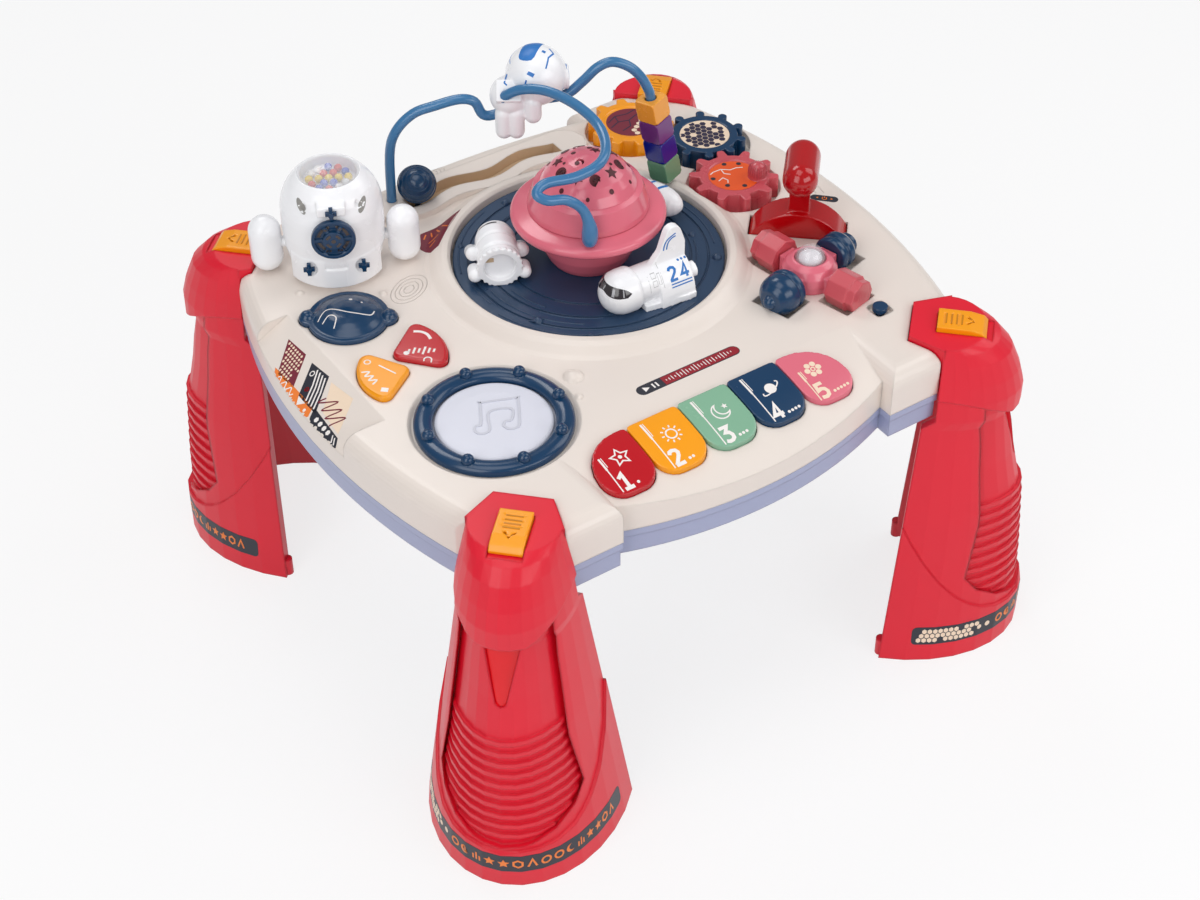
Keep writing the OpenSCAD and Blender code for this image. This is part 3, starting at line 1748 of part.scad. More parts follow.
// Each bead slides on the straight stretch above the wire's foot
module bead(k) {
  d = unit(bead_top - bead_foot);
  rest = wire_seat + 3 + k * (bead_w + bead_gap);
  along(bead_foot + rest * d, bead_top)
    rotate([0, 0, 45])
      difference() {
        intersection() {
          translate([-bead_w / 2, -bead_w / 2, 0])
            cube(bead_w);
          translate([0, 0, bead_w / 2])
            sphere(r = 0.8 * bead_w, $fn = 48);
        }
        translate([0, 0, -1])
          cylinder(r = wire_r + 0.7, h = bead_w + 2, $fn = 36);
      }
}

module bead_green() color("#73a07d") bead(0);
module bead_blue() color("#0f0f96") bead(1);
module bead_purple() color("#732d7d") bead(2);
module bead_orange() color("#faaa32") bead(3);

top_shell();
bottom_shell();
battery_door();
case_screws();
circuit_board();
speaker();
batteries();
leg_front_left();
leg_front_right();
leg_back_left();
leg_back_right();
latch_front_left();
latch_front_right();
latch_back_left();
latch_back_right();
turntable();
shuttle();
space_station();
rocket();
lamp_base();
lamp_dome();
lamp_board();
drum_ring();
drum_pad();
mode_button();
song_button();
planet_button();
key_1();
key_2();
key_3();
key_4();
key_5();
power_button();
gear_yellow();
gear_blue();
gear_pink();
lever();
lever_pin();
satellite_body();
satellite_dome();
roller_pink_left();
roller_pink_right();
roller_blue_front();
roller_blue_back();
capsule_shell();
capsule_window();
capsule_pins();
capsule_wheel();
pod_left();
pod_right();
rattle_balls();
slider_knob();
maze_wire_long();
maze_wire_short();
flying_astronaut();
bead_orange();
bead_purple();
bead_blue();
bead_green();
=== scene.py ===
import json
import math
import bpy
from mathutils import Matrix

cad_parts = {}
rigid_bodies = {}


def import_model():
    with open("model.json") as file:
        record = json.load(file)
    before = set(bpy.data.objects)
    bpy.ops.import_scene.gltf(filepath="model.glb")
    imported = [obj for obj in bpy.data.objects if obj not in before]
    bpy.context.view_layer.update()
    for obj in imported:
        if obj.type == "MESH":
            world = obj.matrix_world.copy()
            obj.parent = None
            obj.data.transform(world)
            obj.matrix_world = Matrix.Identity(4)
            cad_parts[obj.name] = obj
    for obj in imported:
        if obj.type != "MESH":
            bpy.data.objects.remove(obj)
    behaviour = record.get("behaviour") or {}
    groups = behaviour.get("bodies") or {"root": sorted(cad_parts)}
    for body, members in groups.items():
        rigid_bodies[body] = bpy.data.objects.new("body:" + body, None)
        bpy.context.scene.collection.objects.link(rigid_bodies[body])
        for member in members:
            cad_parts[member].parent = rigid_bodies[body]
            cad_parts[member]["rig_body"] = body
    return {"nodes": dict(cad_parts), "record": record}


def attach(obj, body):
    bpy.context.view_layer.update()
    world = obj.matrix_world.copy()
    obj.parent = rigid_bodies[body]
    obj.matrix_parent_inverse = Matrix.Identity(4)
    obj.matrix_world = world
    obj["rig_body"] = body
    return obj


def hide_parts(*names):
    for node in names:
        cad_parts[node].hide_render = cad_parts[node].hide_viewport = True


bl_info = {
    "name": "Musical Activity Table",
    "version": (1, 0, 0),
    "blender": (4, 5, 0),
    "location": "View3D > Sidebar > Activity Table",
    "description": "Dresses the parts of a space activity table in their finishes, prints and small parts",
    "category": "Object",
}

import bmesh
import bpy
from bpy.props import FloatProperty, FloatVectorProperty, PointerProperty
from mathutils import Matrix, Vector
from mathutils.bvhtree import BVHTree

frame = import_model()

NODES = frame["nodes"]
BODY_OF = {name: node["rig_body"] for name, node in NODES.items()}
MM = 0.001
WELD = 0.003 * MM
DOWN = Vector((0, 0, -1))
# Middle of the turntable and of the lamp on it. Here and below, places are in millimetres.
HUB = (18, 31)
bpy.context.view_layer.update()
SURFACES = {}
FINISHES = {}


# ---------------------------------------------------------------- settings

def linear(level):
    """An 8-bit screen level as a linear one."""
    level = level / 255
    return level / 12.92 if level <= 0.04045 else ((level + 0.055) / 1.055) ** 2.4


def colour(name, description, red, green, blue):
    """A colour property whose default is given in screen levels."""
    return FloatVectorProperty(
        name=name, description=description, subtype="COLOR", size=3, min=0, max=1,
        default=(linear(red), linear(green), linear(blue)))


def length(name, description, millimetres):
    """A length property whose default is given in millimetres."""
    return FloatProperty(
        name=name, description=description, subtype="DISTANCE", unit="LENGTH", min=0,
        default=millimetres * MM, precision=5)


class TableColours(bpy.types.PropertyGroup):
    """Colours of the moulded plastics and of the prints."""
    cream: colour("Cream shell", "Upper half of the case", 233, 222, 213)
    lavender: colour("Lavender shell", "Lower half of the case", 164, 170, 200)
    leg_red: colour("Leg red", "The four legs", 226, 14, 44)
    yellow: colour("Yellow", "Latches, second key and song button", 250, 160, 0)
    navy: colour("Navy", "Drum ring, planet button, blue gear and rollers", 12, 56, 92)
    slate: colour("Slate", "Turntable disc", 38, 64, 94)
    white: colour("White", "Capsule and the four riders", 250, 250, 252)
    pink: colour("Pink", "Lamp, fifth key and satellite", 226, 112, 130)
    wire: colour("Wire blue", "The two rails of the bead maze", 58, 118, 166)
    pad: colour("Drum pad", "Pad of the drum", 220, 221, 232)
    deep_red: colour("Deep red", "Lever", 180, 0, 8)
    key_red: colour("Key red", "First key and mode button", 192, 10, 26)
    mint: colour("Mint", "Third key", 132, 180, 150)
    orange: colour("Gear orange", "Orange gear", 252, 160, 16)
    rose: colour("Gear rose", "Rose gear and rollers", 204, 82, 92)
    bead_green: colour("Green bead", "Lowest bead", 110, 158, 122)
    bead_blue: colour("Blue bead", "Second bead", 0, 2, 134)
    bead_purple: colour("Purple bead", "Third bead", 112, 44, 124)
    bead_orange: colour("Orange bead", "Top bead", 248, 166, 50)
    inlay_orange: colour("Orange inlay", "Disc in the rose gear", 238, 90, 28)
    inlay_maroon: colour("Maroon inlay", "Disc in the orange gear and the dark labels", 122, 32, 52)
    inlay_cream: colour("Cream inlay", "Disc in the blue gear and pale cells", 246, 222, 196)
    ink_dark: colour("Dark ink", "Dark prints", 38, 40, 52)
    ink_white: colour("White ink", "Pale prints", 246, 240, 236)
    ink_blue: colour("Blue ink", "Prints on the riders", 34, 118, 196)
    ink_orange: colour("Orange ink", "Prints on the foot bands", 244, 130, 50)
    groove: colour("Groove", "Lining of the slider groove", 206, 178, 146)


class TableSizes(bpy.types.PropertyGroup):
    """Sizes of the detail that is added to the moulded parts."""
    edge: length("Edge radius", "Radius that softens the moulded edges", 0.8)
    film: length("Film lift", "How far a print stands off its surface", 0.13)
    film_step: length("Film step", "Longest edge of a laid print", 2.6)
    wire: length("Wire radius", "Radius of the bead maze rails", 3.75)
    skin: length("Skin depth", "Depth of the moulded surface grain", 0.06)
    dash: length("Dash radius", "Radius of the raised lines on the turntable", 0.75)


def colours():
    """The colours in use."""
    return bpy.context.scene.table_colours


def sizes():
    """The sizes in use."""
    return bpy.context.scene.table_sizes


# ---------------------------------------------------------------- finishes

class Level:
    """A socket of a finish that takes part in Python expressions."""

    def __init__(self, finish, socket):
        self.finish = finish
        self.socket = socket

    def __add__(self, other):
        return self.finish.maths("ADD", self, other)

    __radd__ = __add__

    def __sub__(self, other):
        return self.finish.maths("SUBTRACT", self, other)

    def __mul__(self, other):
        return self.finish.maths("MULTIPLY", self, other)

    __rmul__ = __mul__

    def between(self, low, high):
        """0 below low, 1 above high and smooth in between."""
        return self.finish.add(
            "ShaderNodeMapRange", {"interpolation_type": "SMOOTHSTEP"},
            {0: self, 1: low, 2: high, 3: 0.0, 4: 1.0})


class Finish:
    """A material that is built node by node."""

    def __init__(self, name):
        self.material = bpy.data.materials.new(name)
        self.material.use_nodes = True
        self.tree = self.material.node_tree
        self.tree.nodes.clear()
        self.shader = self.tree.nodes.new("ShaderNodeBsdfPrincipled")
        self.output = self.tree.nodes.new("ShaderNodeOutputMaterial")
        self.tree.links.new(self.shader.outputs[0], self.output.inputs[0])
        self.place = self.add("ShaderNodeTexCoord", output="Object")

    def add(self, kind, settings=None, values=None, output=0):
        """Adds a node, applies its settings, then fills its sockets."""
        node = self.tree.nodes.new(kind)
        for key, value in (settings or {}).items():
            setattr(node, key, value)
        for key, value in (values or {}).items():
            self.fill(node.inputs[key], value)
        return Level(self, node.outputs[output])

    def fill(self, socket, value):
        """Links a level to a socket, or sets its value."""
        if isinstance(value, Level):
            self.tree.links.new(value.socket, socket)
        elif socket.type == "RGBA":
            socket.default_value = (*tuple(value)[:3], 1.0)
        else:
            socket.default_value = value

    def set(self, **values):
        """Sets sockets of the plastic's shader, named with underscores for spaces."""
        for key, value in values.items():
            self.fill(self.shader.inputs[key.replace("_", " ")], value)

    def maths(self, operation, *values):
        """A node of the shader's maths."""
        return self.add("ShaderNodeMath", {"operation": operation}, dict(enumerate(values)))

    def mix(self, factor, first, second):
        """Blends two colours."""
        return self.add("ShaderNodeMix", {"data_type": "RGBA"}, {0: factor, 6: first, 7: second}, 2)

    def noise(self, scale, detail=2.0, rough=0.5):
        """Noise from 0 to 1 that repeats every 1/scale metres or so."""
        return self.add(
            "ShaderNodeTexNoise", {"noise_dimensions": "3D"},
            {"Vector": self.place, "Scale": scale, "Detail": detail, "Roughness": rough})

    def relief(self, height, strength, depth, edge):
        """Bump over softened edges."""
        soft = self.add("ShaderNodeBevel", {"samples": 4}, {"Radius": edge})
        bump = self.add(
            "ShaderNodeBump", None,
            {"Strength": strength, "Distance": depth, "Height": height, "Normal": soft})
        self.set(Normal=bump)


def shade(tint, amount):
    """A colour made darker or lighter."""
    return tuple(min(1.0, part * amount) for part in tuple(tint)[:3])


def moulded(name, tint, rough=0.34, coat=0.15, grain=0.25, mottle=0.04, skin=900.0, edge=None):
    """Injection-moulded plastic with faint flow marks, a fine skin and softened edges."""
    made = Finish(name)
    flow = made.noise(16.0, 3.0)
    fine = made.noise(skin, 2.0)
    scuffs = made.noise(70.0, 5.0, 0.7).between(0.55, 0.75)
    made.set(Base_Color=made.mix(flow, shade(tint, 1 - mottle), shade(tint, 1 + mottle)))
    made.set(Roughness=rough + 0.10 * (flow - 0.5) + 0.05 * scuffs)
    made.set(Coat_Weight=coat, Coat_Roughness=0.12, IOR=1.5)
    made.relief(fine, grain, sizes().skin, sizes().edge if edge is None else edge)
    return made.material


def printed(name, tint, rough=0.42):
    """Printed film: flat ink with faint grain and pinholes."""
    made = Finish(name)
    grain = made.noise(1500.0, 2.0)
    flow = made.noise(60.0, 2.0)
    made.set(Base_Color=made.mix(grain * 0.6 + flow * 0.4, shade(tint, 0.93), shade(tint, 1.05)))
    made.set(Roughness=rough + 0.12 * (grain - 0.5), Coat_Weight=0.08, IOR=1.48)
    made.relief(grain, 0.12, 0.00003, 0.0002)
    return made.material


def clear(name, tint, alpha):
    """Clear moulded plastic."""
    made = Finish(name)
    waves = made.noise(30.0, 2.0)
    made.set(Base_Color=made.mix(waves, shade(tint, 0.97), tint), Roughness=0.03 + 0.05 * waves)
    made.set(Alpha=alpha, Coat_Weight=1.0, Coat_Roughness=0.02, IOR=1.52, Specular_IOR_Level=0.9)
    made.relief(waves, 0.1, 0.0002, 0.0003)
    return made.material


def metal(name, tint, rough=0.28):
    """Plated steel with a brushed skin."""
    made = Finish(name)
    brush = made.noise(2200.0, 2.0)
    made.set(Base_Color=made.mix(brush, shade(tint, 0.85), tint), Metallic=1.0)
    made.set(Roughness=rough + 0.12 * (brush - 0.5))
    made.relief(brush, 0.2, 0.00004, 0.0002)
    return made.material


# Each look: recipe, name, tint, then the recipe's own numbers. A tint is a colour of the settings,
# such a colour with an amount of shade, or a colour given here.
# moulded: roughness, coat, grain, mottle, scale of the skin, edge radius in metres.
# printed and metal: roughness. clear: alpha.
RECIPES = {
    "cream_shell": (moulded, "cream plastic", "cream", 0.36, 0.15, 0.22, 0.015, 700.0, 0.002),
    "lavender_shell": (moulded, "lavender plastic", "lavender", 0.40, 0.10, 0.3, 0.02, 700.0, 0.002),
    "leg_red": (moulded, "leg red plastic", "leg_red", 0.40, 0.05, 0.18, 0.05, 600.0, 0.0023),
    "yellow": (moulded, "yellow plastic", "yellow", 0.30, 0.12, 0.2, 0.04),
    "navy": (moulded, "navy plastic", "navy", 0.22, 0.15, 0.2, 0.06),
    "slate": (moulded, "slate plastic", "slate", 0.34, 0.05, 0.3, 0.05),
    "white": (moulded, "white plastic", "white", 0.26, 0.15, 0.12, 0.01),
    "pink": (moulded, "pink plastic", "pink", 0.2, 0.2, 0.12, 0.03),
    "wire_blue": (moulded, "wire blue plastic", "wire", 0.24, 0.40, 0.1, 0.05, 500.0, 0.0),
    "pad_white": (moulded, "pad plastic", "pad", 0.46, 0.05, 0.4, 0.015, 1200.0),
    "deep_red": (moulded, "deep red plastic", "deep_red", 0.16, 0.25, 0.1, 0.06),
    "key_red": (moulded, "key red plastic", "key_red", 0.2, 0.2, 0.1, 0.06),
    "key_mint": (moulded, "mint plastic", "mint", 0.24, 0.40, 0.12, 0.04),
    "gear_orange": (moulded, "gear orange plastic", "orange", 0.28, 0.25, 0.15, 0.04),
    "gear_rose": (moulded, "gear rose plastic", "rose", 0.28, 0.25, 0.15, 0.04),
    "bead_green": (moulded, "bead green plastic", "bead_green", 0.26, 0.35, 0.15, 0.05),
    "bead_blue": (moulded, "bead blue plastic", "bead_blue", 0.24, 0.40, 0.15, 0.05),
    "bead_purple": (moulded, "bead purple plastic", "bead_purple", 0.24, 0.40, 0.15, 0.05),
    "bead_orange": (moulded, "bead orange plastic", "bead_orange", 0.26, 0.35, 0.15, 0.05),
    "clear": (clear, "clear plastic", (0.93, 0.94, 0.97), 0.20),
    "steel": (metal, "plated steel", (0.62, 0.63, 0.66)),
    "board_green": (moulded, "board laminate", (0.03, 0.19, 0.07), 0.4, 0.3, 0.4, 0.12, 400.0),
    "lamp_board": (moulded, "lamp board laminate", (0.9, 0.9, 0.87), 0.45, 0.1, 0.3, 0.04),
    "speaker_black": (moulded, "speaker frame", (0.026, 0.026, 0.029), 0.5, 0.0, 0.6, 0.1, 300.0),
    "cell": (moulded, "cell wrapper", (0.59, 0.36, 0.045), 0.3, 0.3, 0.1, 0.08),
    "well_red": (moulded, "well red plastic", (0.78, 0.0, 0.006), 0.3, 0.05, 0.1, 0.06),
    # Dark window plastic, also laid as painted shade in the station's slot and in the wells of the
    # capsule's wheel.
    "window_dark": (
        moulded, "window dark plastic", (0.028, 0.022, 0.026), 0.08, 0.8, 0.05, 0.1, 900.0, 0.0),
    "pearl": (moulded, "pearl plastic", (0.86, 0.82, 0.86), 0.12, 0.8, 0.05, 0.04, 900.0, 0.0),
    "rattle": (moulded, "rattle red plastic", (0.72, 0.06, 0.04), 0.25, 0.4, 0.1, 0.05),
    "rattle_yellow": (moulded, "rattle yellow plastic", (0.90, 0.66, 0.02), 0.25, 0.4, 0.1, 0.05),
    "rattle_blue": (moulded, "rattle blue plastic", (0.03, 0.08, 0.56), 0.25, 0.4, 0.1, 0.05),
    "rattle_white": (moulded, "rattle white plastic", (0.88, 0.88, 0.88), 0.25, 0.4, 0.1, 0.02),
    "inlay_orange": (printed, "orange inlay film", "inlay_orange"),
    "inlay_maroon": (printed, "maroon inlay film", "inlay_maroon"),
    "inlay_cream": (printed, "cream inlay film", "inlay_cream"),
    "ink_dark": (printed, "dark ink", "ink_dark"),
    "ink_white": (printed, "white ink", "ink_white"),
    "ink_blue": (printed, "blue ink", "ink_blue"),
    "ink_orange": (printed, "orange ink", "ink_orange"),
    # Painted shade laid in the capsule's oval holes.
    "hole_grey": (printed, "hole shade", (0.30, 0.29, 0.27), 0.5),
    "strip_red": (printed, "strip red ink", (0.30, 0.004, 0.016)),
    "dome_dark": (printed, "dome opening shade", (0.085, 0.003, 0.010), 0.5),
    # Painted shade of the grip grooves on the latches, darker than the yellow.
    "latch_amber": (printed, "latch amber ink", ("yellow", 0.62), 0.35),
    # Painted shade of the raised note on the drum pad.
    "note_relief_shade": (printed, "pad relief", ("pad", 0.86), 0.4),
    "seam_grey": (printed, "seam shadow", ("white", 0.55), 0.4),
    "silver": (printed, "window bar silver", (0.42, 0.42, 0.44), 0.3),
    "comb_dark": (printed, "comb ink", (0.022, 0.016, 0.05)),
    "groove_tan": (printed, "groove floor film", "groove", 0.5),
}


def tint_of(given):
    """The colour that a recipe gives by name, by name and shade, or in full."""
    if isinstance(given, str):
        return getattr(colours(), given)
    if isinstance(given[0], str):
        return shade(getattr(colours(), given[0]), given[1])
    return given


def finish(name):
    """The named finish, made when it is first asked for."""
    if name not in FINISHES:
        make, label, tint, *numbers = RECIPES[name]
        FINISHES[name] = make(label, tint_of(tint), *numbers)
    return FINISHES[name]


# ---------------------------------------------------------------- meshes

def add_piece(name, mesh, body, look, slot, crease=32.0):
    """Puts a finished mesh in the scene, riding on its body."""
    piece = bpy.data.objects.new(name, mesh)
    bpy.context.scene.collection.objects.link(piece)
    mesh.materials.clear()
    mesh.materials.append(finish(look))
    mesh.polygons.foreach_set("use_smooth", [True] * len(mesh.polygons))
    mesh.set_sharp_from_angle(angle=math.radians(crease))
    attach(piece, body)
    return piece


def baked(mesh, modifiers, name):
    """The mesh after a list of (modifier type, settings)."""
    piece = bpy.data.objects.new(name, mesh)
    bpy.context.scene.collection.objects.link(piece)
    for kind, settings in modifiers:
        modifier = piece.modifiers.new(kind, kind)
        for key, value in settings.items():
            setattr(modifier, key, value)
    graph = bpy.context.evaluated_depsgraph_get()
    made = bpy.data.meshes.new_from_object(piece.evaluated_get(graph))
    made.name = name
    bpy.data.objects.remove(piece)
    return made


def mesh_from(form, name):
    """Turns a form into a mesh and frees it."""
    mesh = bpy.data.meshes.new(name)
    form.to_mesh(mesh)
    form.free()
    return mesh


def bridge(form, rows):
    """Closed bands of faces from each row of points to the next."""
    for low, high in zip(rows, rows[1:]):
        for step, corner in enumerate(low):
            after = (step + 1) % len(low)
            form.faces.new((corner, low[after], high[after], high[step]))


def solid(form, name, body, look, slot, crease=40.0):
    """Makes a piece of a closed form in millimetres, with its normals outwards."""
    bmesh.ops.recalc_face_normals(form, faces=form.faces)
    bmesh.ops.scale(form, vec=(MM, MM, MM), verts=form.verts)
    add_piece(name, mesh_from(form, name), body, look, slot, crease)


def merged(node):
    """A joined copy of a CAD node's triangles."""
    form = bmesh.new()
    form.from_mesh(NODES[node].data)
    bmesh.ops.remove_doubles(form, verts=form.verts, dist=WELD)
    return mesh_from(form, node + "_merged")


def tree_of(mesh):
    """A search tree of a mesh, in millimetres."""
    points = [vertex.co / MM for vertex in mesh.vertices]
    return BVHTree.FromPolygons(points, [tuple(face.vertices) for face in mesh.polygons])


def surface(node):
    """The search tree of a node as it is dressed, for laying prints on."""
    if node not in SURFACES:
        mesh = merged(node)
        SURFACES[node] = tree_of(mesh)
        bpy.data.meshes.remove(mesh)
    return SURFACES[node]


def below(node, x, y, start=400.0):
    """The place on a node straight below a point, in millimetres, or None."""
    return surface(node).ray_cast(Vector((x, y, start)), DOWN)[0]


def dress(node, look, voxel, passes, cap):
    """Replaces a CAD node by a joined copy, remeshed with soft edges; voxel is in millimetres."""
    mesh = merged(node)
    crease = 32.0
    steps = [
        ("REMESH", {"mode": "VOXEL", "voxel_size": voxel * MM, "use_smooth_shade": True}),
        ("SMOOTH", {"factor": 0.5, "iterations": passes})]
    mesh = baked(mesh, steps, node + "_soft")
    triangles = 2 * len(mesh.polygons)
    if triangles > cap:
        mesh = baked(mesh, [("DECIMATE", {"ratio": cap / triangles})], node + "_soft")
    crease = 180.0
    mesh.name = node + "_body"
    SURFACES[node] = tree_of(mesh)
    piece = add_piece(node + "_moulding", mesh, BODY_OF[node], look, slot_of(node), crease)
    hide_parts(node)


def keep(node, look):
    """Gives a CAD node that needs no softening its finish."""
    mesh = NODES[node].data
    mesh.materials.clear()
    mesh.materials.append(finish(look))


def slot_of(node):
    """The record's material slot of a node."""
    return next(row["material_slot"] for row in frame["record"]["subparts"] if row["node"] == node)


# ---------------------------------------------------------------- prints

# Strokes of the plain numbers, as shares of their height.
GLYPHS = {
    "1": [[(0.08, 0.76), (0.36, 0.97), (0.36, 0.05)], [(0.08, 0.05), (0.64, 0.05)]],
    "2": [[(0.06, 0.78), (0.14, 0.93), (0.32, 0.98), (0.5, 0.92), (0.57, 0.76), (0.5, 0.58), (0.08, 0.08)],
          [(0.03, 0.06), (0.62, 0.06)]],
    "3": [[(0.06, 0.94), (0.56, 0.94), (0.28, 0.6), (0.48, 0.54), (0.58, 0.36), (0.55, 0.16), (0.4, 0.05),
           (0.2, 0.04), (0.04, 0.12)]],
    "4": [[(0.47, 0.0), (0.47, 0.97), (0.06, 0.28), (0.66, 0.28)]],
    "5": [[(0.56, 0.94), (0.12, 0.94), (0.08, 0.54), (0.3, 0.6), (0.5, 0.52), (0.58, 0.33), (0.52, 0.13),
           (0.34, 0.04), (0.04, 0.08)]],
}


def turned(x, y, degrees):
    """A point (x, y) turned about the origin."""
    lean = math.radians(degrees)
    return x * math.cos(lean) - y * math.sin(lean), x * math.sin(lean) + y * math.cos(lean)


def arc(x, y, radius, first, last, steps=24):
    """Points along an arc, in degrees."""
    turns = [math.radians(first + (last - first) * step / steps) for step in range(steps + 1)]
    return [(x + radius * math.cos(turn), y + radius * math.sin(turn)) for turn in turns]


def circle(x, y, radius, steps=28, start=0.0):
    """Points round a circle."""
    return arc(x, y, radius, start, start + 360, steps)[:-1]


def oval(x, y, wide, deep, lean, points):
    """Points stretched along x and y, leaned by some degrees and moved to (x, y)."""
    return [(x + px, y + py) for px, py in (turned(wide * px, deep * py, lean) for px, py in points)]


def star(x, y, radius, inner=0.45, points=5, start=90.0):
    """Points of a star."""
    made = []
    for step in range(2 * points):
        reach = radius if step % 2 == 0 else radius * inner
        turn = math.radians(start + 180 * step / points)
        made.append((x + reach * math.cos(turn), y + reach * math.sin(turn)))
    return made


def crescent(x, y, radius, turn=0.0, steps=16):
    """Points of a crescent moon that opens towards turn."""
    outer = arc(0, 0, radius, 60, 300, steps)
    inner = arc(radius * 0.5, 0, radius * 0.866, 270, 90, steps)[1:-1]
    return oval(x, y, 1, 1, turn, outer + inner)


def pill(x0, x1, y, half, steps=10):
    """Points of a bar with round ends."""
    return arc(x1 - half, y, half, -90, 90, steps) + arc(x0 + half, y, half, 90, 270, steps)


def smooth_path(points, steps):
    """More points on the rounded path through the given ones."""
    ends = [points[0], *points, points[-1]]
    made = []
    for place in range(len(points) - 1):
        a, b, c, d = (Vector(ends[place + step]) for step in range(4))
        for step in range(steps):
            t = step / steps
            made.append(tuple(
                0.5 * (2 * b + (c - a) * t + (2 * a - 5 * b + 4 * c - d) * t * t
                       + (3 * b - a - 3 * c + d) * t ** 3)))
    made.append(tuple(points[-1]))
    return made


def from_above(x0=0.0, y0=0.0, turn=0.0, height=450.0):
    """Lays a print straight down from above, centred on (x0, y0)."""
    def ray(x, y):
        px, py = turned(x, y, turn)
        return Vector((x0 + px, y0 + py, height)), DOWN
    return ray


def facing(origin, across, up, reach=25.0):
    """Lays a print against a side, from a plane that faces it."""
    origin = Vector(origin)
    across = Vector(across).normalized()
    normal = across.cross(Vector(up)).normalized()
    up = normal.cross(across)

    def ray(x, y):
        return origin + across * x + up * y + normal * reach, -normal
    return ray


def around(centre, heading, radius, reach):
    """Wraps a print round an upright axis, from outside."""
    centre = Vector(centre)

    def ray(x, y):
        turn = math.radians(heading) + x / radius
        way = Vector((math.cos(turn), math.sin(turn), 0))
        return centre + way * reach + Vector((0, 0, y)), -way
    return ray


def globe(centre, forward, top, radius, reach):
    """Wraps a print round a ball: x goes round from forward, y rises towards top."""
    centre = Vector(centre)
    forward = Vector(forward).normalized()
    side = Vector(top).cross(forward).normalized()
    top = forward.cross(side)

    def ray(x, y):
        turn, rise = x / radius, y / radius
        way = (forward * math.cos(turn) + side * math.sin(turn)) * math.cos(rise) + top * math.sin(rise)
        return centre + way * reach, -way
    return ray


def polar(centre, radius, reach):
    """Spreads a print over the top of a ball, straight out from its pole."""
    centre = Vector(centre)

    def ray(x, y):
        tilt = math.hypot(x, y) / radius
        turn = math.atan2(y, x)
        way = Vector((math.sin(tilt) * math.cos(turn), math.sin(tilt) * math.sin(turn), math.cos(tilt)))
        return centre + way * reach, -way
    return ray


def axle(centre, along, radius, reach):
    """Wraps a print round a lying axis: x goes round it and y along it."""
    centre = Vector(centre)
    along = Vector(along).normalized()
    side = along.cross(Vector((0, 0, 1))).normalized()
    top = side.cross(along)

    def ray(x, y):
        turn = x / radius
        way = side * math.cos(turn) + top * math.sin(turn)
        return centre + along * y + way * reach, -way
    return ray


class Print:
    """Thin films laid on a dressed piece, gathered in one mesh, in millimetres."""

    def __init__(self, target, ray, lift=1.0):
        """A print for a node; ray says where its points start and which way they fall."""
        self.target = target
        self.ray = ray
        self.lift = lift * sizes().film / MM
        self.form = bmesh.new()

    def area(self, points):
        """A filled outline."""
        corners = [self.form.verts.new((x, y, 0)) for x, y in points]
        self.form.faces.new(corners)
        return self

    def strip(self, points, width, closed=False):
        """A line of even width with mitred corners."""
        sharpest = 0.5
        count = len(points)
        pairs = []
        for place, point in enumerate(points):
            here = Vector(point)
            before = Vector(points[place - 1]) if place or closed else here
            after = Vector(points[(place + 1) % count]) if place < count - 1 or closed else here
            back = (here - before if before != here else after - here).normalized()
            ahead = (after - here if after != here else here - before).normalized()
            middle = (back + ahead).normalized() if (back + ahead).length > 0.01 else back
            side = Vector((-middle.y, middle.x))
            reach = width / 2 / max(sharpest, abs(side.dot(Vector((-back.y, back.x)))))
            pairs.append([
                self.form.verts.new((*(here + side * reach * hand), 0)) for hand in (1, -1)])
        for place in range(count if closed else count - 1):
            first, second = pairs[place], pairs[(place + 1) % count]
            self.form.faces.new((first[0], first[1], second[1], second[0]))
        return self

    def disc(self, x, y, radius, steps=24):
        """A filled circle."""
        return self.area(circle(x, y, radius, steps))

    def ring(self, x, y, radius, width, steps=36):
        """An open circle."""
        return self.strip(circle(x, y, radius, steps), width, True)

    def numeral(self, digit, x, y, height, width):
        """A plain number whose lower left corner is at (x, y)."""
        for line in GLYPHS[digit]:
            self.strip([(x + height * px, y + height * py) for px, py in line], width)
        return self

    def split(self):
        """Cuts long edges so that the film can follow the surface."""
        most_cuts = 7
        step = sizes().film_step / MM
        bmesh.ops.triangulate(self.form, faces=self.form.faces)
        for _ in range(most_cuts):
            long_edges = [edge for edge in self.form.edges if edge.calc_length() > step]
            if not long_edges:
                break
            bmesh.ops.subdivide_edges(self.form, edges=long_edges, cuts=1)
            bmesh.ops.triangulate(self.form, faces=self.form.faces)

    def lay(self, name, look):
        """Drops the films on their piece, closes them and makes the piece."""
        sink = 0.06
        self.split()
        way_of = self.form.verts.layers.float_vector.new("way")
        tree = surface(self.target)
        lost = []
        for vertex in self.form.verts:
            start, way = self.ray(vertex.co.x, vertex.co.y)
            place = tree.ray_cast(start, way)[0]
            if place is None:
                lost.append(vertex)
                continue
            vertex.co = place + way * sink
            vertex[way_of] = way
        bmesh.ops.delete(self.form, geom=lost, context="VERTS")
        faces = self.form.faces[:]
        for face in faces:
            face.normal_update()
            if face.normal.dot(face.verts[0][way_of]) > 0:
                face.normal_flip()
        raised = bmesh.ops.extrude_face_region(self.form, geom=faces, use_keep_orig=True)["geom"]
        for vertex in raised:
            if isinstance(vertex, bmesh.types.BMVert):
                vertex.co -= vertex[way_of] * (self.lift + sink)
        solid(self.form, name, BODY_OF[self.target], look, slot_of(self.target))


# ---------------------------------------------------------------- node trees

